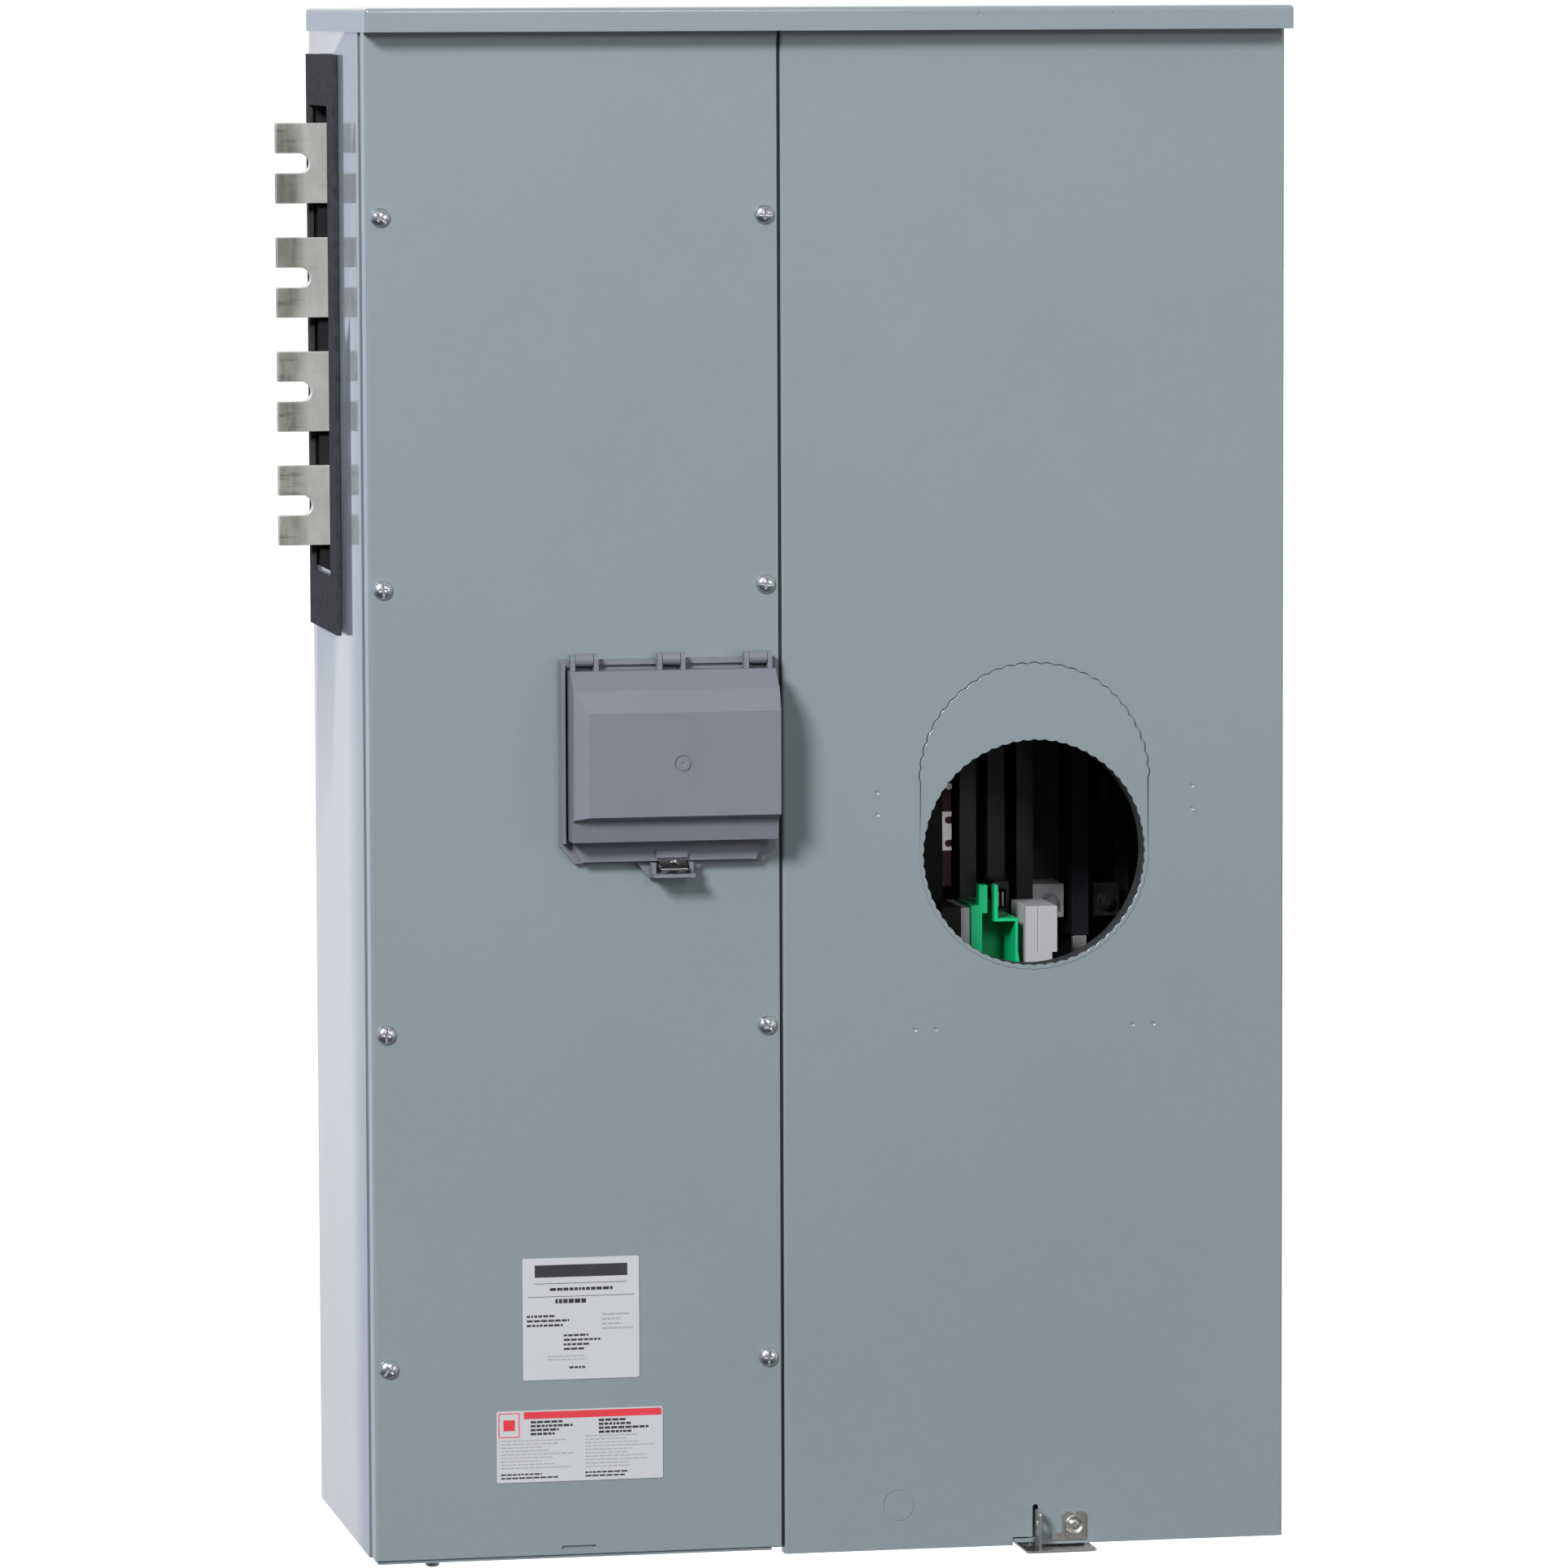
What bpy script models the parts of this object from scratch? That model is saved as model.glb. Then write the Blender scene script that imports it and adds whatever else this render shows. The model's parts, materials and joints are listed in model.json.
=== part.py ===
"""Meter socket enclosure: one branch unit of an outdoor three-phase meter centre.

Every length is in millimetres, measured from the left side wall (x), back from the front
faces of the covers (y) and up from the lower edge of the side walls (z). world() turns
them into metres about the origin, the centre of the wall-mounting face at the back:
the front looks along -Y and +Z is up.
"""
import math

import bmesh
import bpy
from mathutils import Matrix, Vector

MM = 0.001
GAP = 0.3  # between pieces that touch
SHEET = 1.6  # painted steel sheet
BEND = 2.4  # outer radius of the covers' bends

# Enclosure
WIDTH = 675.0
DEPTH = 290.0
HEIGHT = 1122.0  # to the top of the rain cap
BODY_TOP = HEIGHT - SHEET - GAP
BACK_INSIDE = DEPTH - SHEET - GAP
JOGGLE = 2.0  # the side walls step in by this much behind the covers' flanges
JOGGLE_DEPTH = 33.0
FLANGE_DEPTH = 19.0  # side flanges of the covers
RAIL = 25.0  # width of the flanges round the front opening
MOUNT_HOLE_INSET = 60.0
MOUNT_HOLE_RADIUS = 5.5
TOP_RAIL = 45.0  # height of the front flange under the top
TONGUE_X = (472.5, 485.5)  # tongue of the bottom sheet that catches the meter cover

# Rain cap
CAP_OVERHANG = 2.0
CAP_FRONT = -20.0
CAP_LIP = 17.0
CAP_RADIUS = 3.0

# Covers
SEAM = 299.9  # middle of the seam between the two covers
SEAM_HALF = 1.15
LEFT_COVER_BOTTOM = 3.0
METER_COVER_BOTTOM = -3.0
COVER_TOP = 1112.0
SCREW_X = (10.5, 289.5)
SCREW_Z = (143.0, 386.3, 707.0, 973.4)
SCREW_RADIUS = 2.4
SCREW_HOLE = 3.0
METER_FLANGE = 12.0  # depth of the meter cover's left flange
METER_RAIL_Y = 13.0
BREAKER_WINDOW = ((149.0, 285.0), (526.0, 642.0))
BOTTOM_SLOT = ((136.0, 161.7), (6.6, 9.3))
BOTTOM_SCREW = (43.0, 12.0)
SEAL_X = 517.0
SEAL_Z = 11.2
STAPLE_X = (487.5, 489.1)
STAPLE_HEIGHT = 25.0

# Meter opening: an obround insert with a round hole low in it
METER_X = 488.2
METER_Z = 507.4
METER_HOLE = 81.8
INSERT_RADIUS = 85.6
INSERT_TOP_ARC = 560.6
RETAINER = ((362.0, 614.0), (370.0, 672.0))
RING_WIDTH = 16.0

# Side opening for the cross bus, and its foam gasket
OPENING_Y = (174.0, 272.0)
OPENING_Z = (708.0, 1054.0)
FOAM = 3.6
FOAM_Y = (138.0, 281.0)
FOAM_Z = (664.5, 1088.2)
FOAM_OPENING_Y = (170.0, 269.0)
FOAM_OPENING_Z = (704.5, 1050.5)

# Cross bus bars
BAR_END = -30.0
BAR_Y = 257.0
BAR_THICKNESS = 6.35
BAR_HEIGHT = 59.4
BAR_TOP_Z = 1007.4  # centre line of the top bar
BAR_PITCH = 84.7
BAR_SLOT = 15.0
BAR_SLOT_END = -5.0
BAR_HOLE = 5.5
BUS_SUPPORTS = (("left", 150.0), ("right", 625.0))

# Breaker, handle and flap
BREAKER_X = 217.5
BREAKER_Z = 582.0
BREAKER = (136.0, 103.0, 280.0)
BREAKER_FRONT = 30.0
ESCUTCHEON = (112.0, 96.0)
ESCUTCHEON_FRONT = 4.0
HANDLE_AXIS_Y = 38.0
HANDLE_REACH = 62.0
HANDLE_TILT = 18.0  # degrees above level when the breaker is on
FLAP_X = (142.0, 292.0)
FLAP_WALL = 2.5
FLAP_BACK = -8.0
HINGE_Y = -11.5
HINGE_Z = 655.0
PIN_RADIUS = 1.5
PIN_HOLE = 1.9
KNUCKLES = (154.0, 217.5, 281.0)
KNUCKLE_HALF = 6.5
EAR = (6.9, 10.1)
BASE_FRONT = -6.0
HASP_X = (207.5, 227.0)
SHACKLE_Y = -20.5
SHACKLE_RADIUS = 3.4

# Meter compartment
RISER_X = (479.3, 522.8, 565.6)
RISER_Y = (190.0, 236.0)
RISER_WIDTH = 12.6
RISER_BOTTOM = 425.0
FOOT_HALF = 18.0
NEUTRAL_X = (598.8, 610.4)
BOARD = ((410.0, 620.0), (330.0, 690.0))
LEDGE_TOP = 404.0
EARTH_X = (560.0, 592.0)

# Labels on the left cover, each as its sides (x) and its lower and upper edges (z)
LABEL_THICKNESS = 0.4
RATING_LABEL = ((108.4, 194.0), (131.5, 220.5))
WARNING_LABEL = ((88.7, 211.0), (57.0, 109.5))

COLOURS = {
    "paint": ((0.28, 0.33, 0.35), 0.35, 0.0),
    "steel": ((0.62, 0.62, 0.60), 0.35, 1.0),
    "zinc": ((0.70, 0.71, 0.73), 0.30, 1.0),
    "tin": ((0.60, 0.60, 0.57), 0.45, 1.0),
    "foam": ((0.02, 0.02, 0.022), 0.95, 0.0),
    "grey_plastic": ((0.25, 0.26, 0.30), 0.45, 0.0),
    "black_plastic": ((0.02, 0.02, 0.022), 0.45, 0.0),
    "sleeve": ((0.025, 0.026, 0.03), 0.40, 0.0),
    "green_plastic": ((0.0, 0.35, 0.16), 0.40, 0.0),
    "light_plastic": ((0.50, 0.51, 0.53), 0.50, 0.0),
    "red_board": ((0.12, 0.02, 0.02), 0.60, 0.0),
    "label": ((0.80, 0.80, 0.80), 0.50, 0.0),
}


def clear_scene():
    for obj in list(bpy.data.objects):
        bpy.data.objects.remove(obj, do_unlink=True)


def make_collection(name):
    collection = bpy.data.collections.new(name)
    bpy.context.scene.collection.children.link(collection)
    return collection


def make_material(name):
    colour, roughness, metallic = COLOURS[name]
    material = bpy.data.materials.get(name) or bpy.data.materials.new(name)
    material.use_nodes = True
    shader = material.node_tree.nodes["Principled BSDF"]
    shader.inputs["Base Color"].default_value = (*colour, 1.0)
    shader.inputs["Roughness"].default_value = roughness
    shader.inputs["Metallic"].default_value = metallic
    return material


def world(x, y, z):
    return Vector((x - WIDTH / 2, y - DEPTH, z - HEIGHT / 2)) * MM


def add_object(name, mesh, material=None):
    """A part in the enclosure's collection, or a tool in the cutters' one where it has no material."""
    obj = bpy.data.objects.new(name, mesh)
    if material:
        PARTS.objects.link(obj)
        if not mesh.materials:
            mesh.materials.append(make_material(material))
    else:
        CUTTERS.objects.link(obj)
        obj.hide_render = True
        obj.display_type = "WIRE"
    return obj


def box(name, x, y, z, material=None):
    """A block between the (low, high) limits on each axis."""
    low, high = world(x[0], y[0], z[0]), world(x[1], y[1], z[1])
    bm = bmesh.new()
    bmesh.ops.create_cube(bm, size=1.0)
    bmesh.ops.scale(bm, vec=high - low, verts=bm.verts)
    mesh = bpy.data.meshes.new(name)
    bm.to_mesh(mesh)
    bm.free()
    obj = add_object(name, mesh, material)
    obj.location = (low + high) / 2
    return obj


AXIS_TURN = {
    "x": Matrix.Rotation(math.radians(90), 4, "Y"),
    "y": Matrix.Rotation(math.radians(-90), 4, "X"),
    "z": Matrix.Identity(4),
}


def cylinder(name, axis, centre, radius, length, material=None, sides=24):
    """A round bar about `centre`, along one axis."""
    bm = bmesh.new()
    bmesh.ops.create_cone(
        bm,
        cap_ends=True,
        segments=sides,
        radius1=radius * MM,
        radius2=radius * MM,
        depth=length * MM,
        matrix=AXIS_TURN[axis],
    )
    mesh = bpy.data.meshes.new(name)
    bm.to_mesh(mesh)
    bm.free()
    obj = add_object(name, mesh, material)
    obj.location = world(*centre)
    return obj


def arc(centre, radius, start, end, steps):
    """Points on an arc in the plane of an outline; the angles are in degrees."""
    angles = [math.radians(start + (end - start) * i / steps) for i in range(steps + 1)]
    return [(centre[0] + radius * math.cos(a), centre[1] + radius * math.sin(a)) for a in angles]


# For an outline's two coordinates and its thickness: the columns of the turn that stands it up.
PLATE_TURN = {
    "x": Matrix(((0, 0, 1), (1, 0, 0), (0, 1, 0))).to_4x4(),
    "y": Matrix(((1, 0, 0), (0, 0, -1), (0, 1, 0))).to_4x4(),
    "z": Matrix.Identity(4),
}


def plate(name, axis, outline, span, material=None):
    """An outline extruded along an axis over span: (y, z) points along x, (x, z) along y, (x, y) along z."""
    curve = bpy.data.curves.new(name, "CURVE")
    curve.dimensions = "2D"
    curve.fill_mode = "BOTH"
    curve.extrude = (span[1] - span[0]) / 2 * MM
    spline = curve.splines.new("POLY")
    spline.points.add(len(outline) - 1)
    for point, (a, b) in zip(spline.points, outline):
        point.co = (a * MM, b * MM, 0.0, 1.0)
    spline.use_cyclic_u = True
    guide = bpy.data.objects.new(name + "_outline", curve)
    CUTTERS.objects.link(guide)
    origin = {
        "x": world((span[0] + span[1]) / 2, 0, 0),
        "y": world(0, (span[0] + span[1]) / 2, 0),
        "z": world(0, 0, (span[0] + span[1]) / 2),
    }[axis]
    guide.matrix_world = Matrix.Translation(origin) @ PLATE_TURN[axis]
    bpy.context.view_layer.update()
    graph = bpy.context.evaluated_depsgraph_get()
    mesh = bpy.data.meshes.new_from_object(guide.evaluated_get(graph))
    bm = bmesh.new()
    bm.from_mesh(mesh)
    bmesh.ops.remove_doubles(bm, verts=bm.verts, dist=0.00001)
    bmesh.ops.recalc_face_normals(bm, faces=bm.faces)
    bm.to_mesh(mesh)
    bm.free()
    obj = add_object(name, mesh, material)
    obj.matrix_world = guide.matrix_world
    bpy.data.objects.remove(guide)
    return obj


def bent_path(corners, radius, steps=3):
    """The corners of an open path, each inner one rounded to the bend radius."""
    path = [Vector(corners[0])]
    for before, here, after in zip(corners, corners[1:], corners[2:]):
        here = Vector(here)
        back = (Vector(before) - here).normalized()
        ahead = (Vector(after) - here).normalized()
        half = back.angle(ahead) / 2
        reach = radius / math.tan(half)
        centre = here + (back + ahead).normalized() * radius / math.sin(half)
        start = here + back * reach - centre
        end = here + ahead * reach - centre
        for i in range(steps + 1):
            path.append(centre + start.slerp(end, i / steps).normalized() * radius)
    path.append(Vector(corners[-1]))
    return path


def folded_sheet(name, path, z, material, offset=1.0, thickness=SHEET):
    """Sheet bent along an (x, y) path and as tall as z; offset says on which side of it the metal lies."""
    bm = bmesh.new()
    rows = [[bm.verts.new(world(p[0], p[1], level)) for p in path] for level in z]
    for i in range(len(path) - 1):
        bm.faces.new((rows[0][i], rows[0][i + 1], rows[1][i + 1], rows[1][i]))
    mesh = bpy.data.meshes.new(name)
    bm.to_mesh(mesh)
    bm.free()
    obj = add_object(name, mesh, material)
    shell = obj.modifiers.new("sheet", "SOLIDIFY")
    shell.thickness = thickness * MM
    shell.offset = offset
    shell.use_even_offset = True
    return obj


def cut(obj, *tools):
    for tool in tools:
        step = obj.modifiers.new(tool.name, "BOOLEAN")
        step.operation = "DIFFERENCE"
        step.object = tool
    return obj


def join(obj, *tools):
    for tool in tools:
        step = obj.modifiers.new(tool.name, "BOOLEAN")
        step.operation = "UNION"
        step.object = tool
    return obj


def pivot(name, location, parts):
    """An empty on a joint's axis that carries the moving parts."""
    empty = bpy.data.objects.new(name, None)
    CUTTERS.objects.link(empty)
    empty.location = location
    empty.hide_render = True
    bpy.context.view_layer.update()
    for part in parts:
        part.parent = empty
        part.matrix_parent_inverse = empty.matrix_world.inverted()


def obround(radius, steps=12):
    """The insert's outline: an arc round the meter hole, another above, and straight sides."""
    top = arc((METER_X, INSERT_TOP_ARC), radius, 0, 180, steps)
    return top + arc((METER_X, METER_Z), radius, 180, 360, steps)


def bar_z(index):
    return BAR_TOP_Z - index * BAR_PITCH


def make_enclosure():
    inner_right = WIDTH - JOGGLE
    path = [
        (JOGGLE + RAIL, 2.0),
        (JOGGLE, 2.0),
        (JOGGLE, JOGGLE_DEPTH),
        (0.0, JOGGLE_DEPTH),
        (0.0, DEPTH),
        (WIDTH, DEPTH),
        (WIDTH, JOGGLE_DEPTH),
        (inner_right, JOGGLE_DEPTH),
        (inner_right, METER_RAIL_Y),
        (inner_right - RAIL, METER_RAIL_Y),
    ]
    body = folded_sheet("enclosure_body", path, (0.0, BODY_TOP), "paint", offset=1.0)
    left_end = SEAM - 8.0
    meter_x = (SEAM + 3.6, inner_right - 0.5)
    rail_back = METER_RAIL_Y + SHEET
    join(
        body,
        box("top_left", (JOGGLE + 0.5, SEAM), (2.2, DEPTH - 0.5), (BODY_TOP - SHEET, BODY_TOP - 0.05)),
        box("top_right", (SEAM - 5.0, inner_right - 0.5), (METER_RAIL_Y + 0.2, DEPTH - 0.5),
            (BODY_TOP - SHEET, BODY_TOP - 0.05)),
        box("bottom_left", (JOGGLE + 0.5, left_end), (2.2, DEPTH - 0.5), (0.05, SHEET)),
        box("bottom_right", (left_end - 5.0, inner_right - 0.5), (METER_RAIL_Y + 0.2, DEPTH - 0.5),
            (0.05, SHEET)),
        box("rail_top_left", (JOGGLE + 0.6, SEAM - 1.6), (2.1, 3.5), (BODY_TOP - TOP_RAIL, BODY_TOP - 0.1)),
        box("rail_bottom_left", (JOGGLE + 0.6, left_end - 0.1), (2.1, 3.5), (0.1, RAIL)),
        box("rail_top_right", meter_x, (METER_RAIL_Y + 0.1, rail_back - 0.1),
            (BODY_TOP - TOP_RAIL, BODY_TOP - 0.1)),
        box("rail_bottom_right", meter_x, (METER_RAIL_Y + 0.1, rail_back - 0.1), (0.1, RAIL)),
        box("bottom_tongue", TONGUE_X, (-9.0, METER_RAIL_Y + 5.0), (0.0, SHEET + 0.1)),
    )
    for x, name in ((0.0, "left"), (WIDTH, "right")):
        cut(body, box("bus_opening_" + name, (x - 10.0, x + 10.0), OPENING_Y, OPENING_Z))
    for x in (MOUNT_HOLE_INSET, WIDTH - MOUNT_HOLE_INSET):
        for z in (MOUNT_HOLE_INSET, BODY_TOP - MOUNT_HOLE_INSET):
            cut(body, cylinder("mount_hole", "y", (x, DEPTH, z), MOUNT_HOLE_RADIUS, 10.0, sides=16))
    for z in SCREW_Z:
        cut(body, cylinder("screw_hole", "y", (SCREW_X[0], 3.0, z), SCREW_HOLE, 8.0, sides=16))


def make_rain_cap():
    """An upside-down tray with no back lip, so that the back can lie on a wall."""
    low = world(-CAP_OVERHANG, CAP_FRONT, HEIGHT - CAP_LIP)
    high = world(WIDTH + CAP_OVERHANG, DEPTH, HEIGHT)
    bm = bmesh.new()
    bmesh.ops.create_cube(bm, size=1.0)
    bmesh.ops.scale(bm, vec=high - low, verts=bm.verts)
    open_faces = [f for f in bm.faces if f.normal.z < -0.5 or f.normal.y > 0.5]
    bmesh.ops.delete(bm, geom=open_faces, context="FACES")
    mesh = bpy.data.meshes.new("rain_cap")
    bm.to_mesh(mesh)
    bm.free()
    cap = add_object("rain_cap", mesh, "paint")
    cap.location = (low + high) / 2
    edges = cap.modifiers.new("bends", "BEVEL")
    edges.width = CAP_RADIUS * MM
    edges.segments = 3
    edges.limit_method = "ANGLE"
    shell = cap.modifiers.new("sheet", "SOLIDIFY")
    shell.thickness = (SHEET - GAP) * MM
    shell.offset = -1.0
    shell.use_even_offset = True


def make_divider():
    """The web between the compartments, with the front flange that the left cover screws to."""
    edge = SEAM + 0.7
    path = [(275.0, 2.0), (edge, 2.0), (edge, 245.0)]
    top = BODY_TOP - SHEET - GAP
    divider = folded_sheet("centre_divider", path, (SHEET + GAP, top), "paint", offset=-1.0)
    cut(
        divider,
        box("notch_top", (270.0, SEAM + 2.0), (0.0, 4.0), (BODY_TOP - TOP_RAIL - GAP, HEIGHT)),
        box("notch_bottom", (270.0, SEAM + 2.0), (0.0, 4.0), (0.0, RAIL + GAP)),
        box("strap_window", (SEAM - 5.0, SEAM + 5.0), (90.0, 235.0), (585.0, 800.0)),
    )
    for z in SCREW_Z:
        cut(divider, cylinder("divider_hole", "y", (SCREW_X[1], 3.0, z), SCREW_HOLE, 8.0, sides=16))


def make_left_cover():
    path = bent_path([(0.0, FLANGE_DEPTH), (0.0, 0.0), (SEAM - SEAM_HALF, 0.0)], BEND)
    cover = folded_sheet("left_cover", path, (LEFT_COVER_BOTTOM, COVER_TOP), "paint", offset=-1.0)
    cut(
        cover,
        box("breaker_window", BREAKER_WINDOW[0], (-5.0, 10.0), BREAKER_WINDOW[1]),
        box("bottom_slot", BOTTOM_SLOT[0], (-5.0, 10.0), BOTTOM_SLOT[1]),
    )
    for x in SCREW_X:
        for z in SCREW_Z:
            cut(cover, cylinder("cover_hole", "y", (x, 0.0, z), SCREW_HOLE, 10.0, sides=16))


def make_meter_cover():
    left = SEAM + SEAM_HALF
    path = bent_path([(left, METER_FLANGE), (left, 0.0), (WIDTH, 0.0), (WIDTH, FLANGE_DEPTH)], BEND)
    cover = folded_sheet("meter_cover", path, (METER_COVER_BOTTOM, COVER_TOP), "paint", offset=-1.0)
    cut(
        cover,
        plate("insert_window", "y", obround(INSERT_RADIUS + GAP), (-5.0, 10.0)),
        box("tongue_notch", (TONGUE_X[0] - 1.0, TONGUE_X[1] + 1.0), (-5.0, 10.0),
            (METER_COVER_BOTTOM - 1.0, SHEET + 1.4)),
        box("staple_slot", (STAPLE_X[0] - 1.3, STAPLE_X[1] + 1.5), (-5.0, 10.0),
            (METER_COVER_BOTTOM - 1.0, STAPLE_HEIGHT + 2.0)),
        cylinder("seal_hole", "y", (SEAL_X, 0.0, SEAL_Z), 3.0, 10.0, sides=16),
    )

    insert = plate("meter_insert", "y", obround(INSERT_RADIUS), (0.0, SHEET), "paint")
    cut(insert, cylinder("meter_hole", "y", (METER_X, 0.0, METER_Z), METER_HOLE, 20.0, sides=48))

    (x0, x1), (z0, z1) = RETAINER
    retainer = box("insert_retainer", (x0, x1), (SHEET + GAP, 2 * SHEET + GAP), (z0, z1), "paint")
    cut(retainer, cylinder("retainer_hole", "y", (METER_X, 0.0, METER_Z), METER_HOLE + 2.0, 20.0, sides=40))

    back = 2 * SHEET + 2 * GAP
    middle = (METER_X, back + RING_WIDTH / 2, METER_Z)
    ring = cylinder("meter_foam_ring", "y", middle, METER_HOLE + RING_WIDTH, RING_WIDTH, "foam", 40)
    cut(ring, cylinder("ring_hole", "y", middle, METER_HOLE + 2.2, 2 * RING_WIDTH, sides=40))
    bracket, screw = make_seal_bracket()
    pivot(
        "meter_cover_axis",
        world(WIDTH / 2, 0.0, COVER_TOP),
        [cover, insert, retainer, ring, bracket, screw],
    )


def make_seal_bracket():
    """The upright ear on the meter cover, and the dished screw that holds it and takes a wire seal."""
    ear = box("seal_bracket", (508.3, 525.9), (-2.3, -0.7), (0.5, 20.9), "steel")
    join(ear, box("bracket_foot", (500.2, 525.0), (-2.2, -0.8), (0.6, 5.6)))
    cut(ear, cylinder("ear_hole", "y", (SEAL_X, 0.0, SEAL_Z), 3.0, 20.0, sides=16))
    profile = [(0.0, -5.2), (3.4, -5.2), (3.4, -3.6), (6.2, -4.6), (6.6, -2.6), (2.4, -2.6),
               (2.4, 9.0), (0.0, 9.0)]
    screw = turned("seal_screw", (SEAL_X, 0.0, SEAL_Z), profile, "steel", 20)
    return ear, screw


def turned(name, centre, profile, material, steps):
    """A profile of (radius, y) points turned about the y axis through `centre`."""
    bm = bmesh.new()
    verts = [bm.verts.new((r * MM, 0.0, -y * MM)) for r, y in profile]
    for a, b in zip(verts, verts[1:]):
        bm.edges.new((a, b))
    mesh = bpy.data.meshes.new(name)
    bm.to_mesh(mesh)
    bm.free()
    obj = add_object(name, mesh, material)
    spin = obj.modifiers.new("turn", "SCREW")
    spin.axis = "Z"
    spin.steps = steps
    spin.render_steps = steps
    spin.use_merge_vertices = True
    spin.merge_threshold = 0.00001
    obj.location = world(*centre)
    obj.rotation_euler = (math.radians(90), 0.0, 0.0)
    return obj


def make_meter_staple():
    """The fixed staple: a plate under the meter cover's edge, with the tab that comes through its slot."""
    staple = box("meter_cover_staple", (478.0, 531.0), (-19.0, 30.0), (-6.2, -4.6), "steel")
    join(
        staple,
        box("staple_tab", STAPLE_X, (-18.0, -1.5), (-5.0, STAPLE_HEIGHT)),
        box("staple_seat", (480.0, 529.0), (16.0, 29.0), (-5.0, -GAP)),
    )
    cut(staple, cylinder("staple_hole", "x", (488.0, -10.0, 16.0), 3.2, 20.0, sides=16))


def make_screws():
    """Pan-head machine screws: eight hold the left cover, one is in the bottom."""
    head = [(0.0, -4.2), (3.2, -4.0), (5.6, -3.0), (7.0, -1.2), (7.0, -GAP), (SCREW_RADIUS, -GAP),
            (SCREW_RADIUS, 13.0), (0.0, 13.0)]
    first = None
    number = 1
    for x in SCREW_X:
        for z in reversed(SCREW_Z):
            screw = turned(f"cover_screw_{number}", (x, 0.0, z), head, "zinc", 16)
            if first:
                screw.data = first.data
            first = first or screw
            number += 1
    bottom = [(0.0, -4.4), (3.6, -4.2), (5.4, -2.8), (5.4, -GAP), (0.0, -GAP)]
    screw = turned("bottom_screw", (*BOTTOM_SCREW, 0.0), bottom, "zinc", 16)
    screw.rotation_euler = (math.radians(180), 0.0, 0.0)


def make_bus():
    gasket = box("bus_gasket", (-FOAM - GAP, -GAP), FOAM_Y, FOAM_Z, "foam")
    cut(gasket, box("gasket_window", (-10.0, 10.0), FOAM_OPENING_Y, FOAM_OPENING_Z))

    right_end = WIDTH - 14.0
    for i in range(4):
        z = bar_z(i)
        bar = box(
            f"bus_bar_{i + 1}",
            (BAR_END, right_end),
            (BAR_Y, BAR_Y + BAR_THICKNESS),
            (z - BAR_HEIGHT / 2, z + BAR_HEIGHT / 2),
            "tin",
        )
        half = BAR_SLOT / 2
        slot = [(BAR_END - 10.0, z + half), (BAR_END - 10.0, z - half)]
        slot += arc((BAR_SLOT_END - half, z), half, -90, 90, 8)
        cut(bar, plate(f"bar_slot_{i + 1}", "y", slot, (BAR_Y - 5.0, BAR_Y + 15.0)))
        for side in (-15.0, 15.0):
            cut(bar, cylinder("bar_hole", "y", (right_end - 20.0, BAR_Y, z + side), BAR_HOLE, 20.0, sides=12))

    pad_z = (bar_z(3) - BAR_HEIGHT / 2 - 30.0, bar_z(0) + BAR_HEIGHT / 2 + 24.0)
    box("bus_pad", (SHEET + GAP, 45.0), (BAR_Y + BAR_THICKNESS + GAP, BACK_INSIDE), pad_z, "foam")
    for side, x in BUS_SUPPORTS:
        name = "bus_support_" + side
        support = box(name, (x - 14.0, x + 14.0), (BAR_Y - 8.0, BACK_INSIDE), pad_z, "black_plastic")
        for i in range(4):
            cut(support, box(
                f"{name}_slot_{i + 1}",
                (x - 20.0, x + 20.0),
                (BAR_Y - GAP, BAR_Y + BAR_THICKNESS + GAP),
                (bar_z(i) - BAR_HEIGHT / 2 - GAP, bar_z(i) + BAR_HEIGHT / 2 + GAP),
            ))
    inside = WIDTH - SHEET - GAP
    box("bus_closing_plate", (inside - SHEET, inside), (OPENING_Y[0] - 12.0, OPENING_Y[1] + 12.0),
        (OPENING_Z[0] - 12.0, OPENING_Z[1] + 12.0), "paint")


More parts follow.
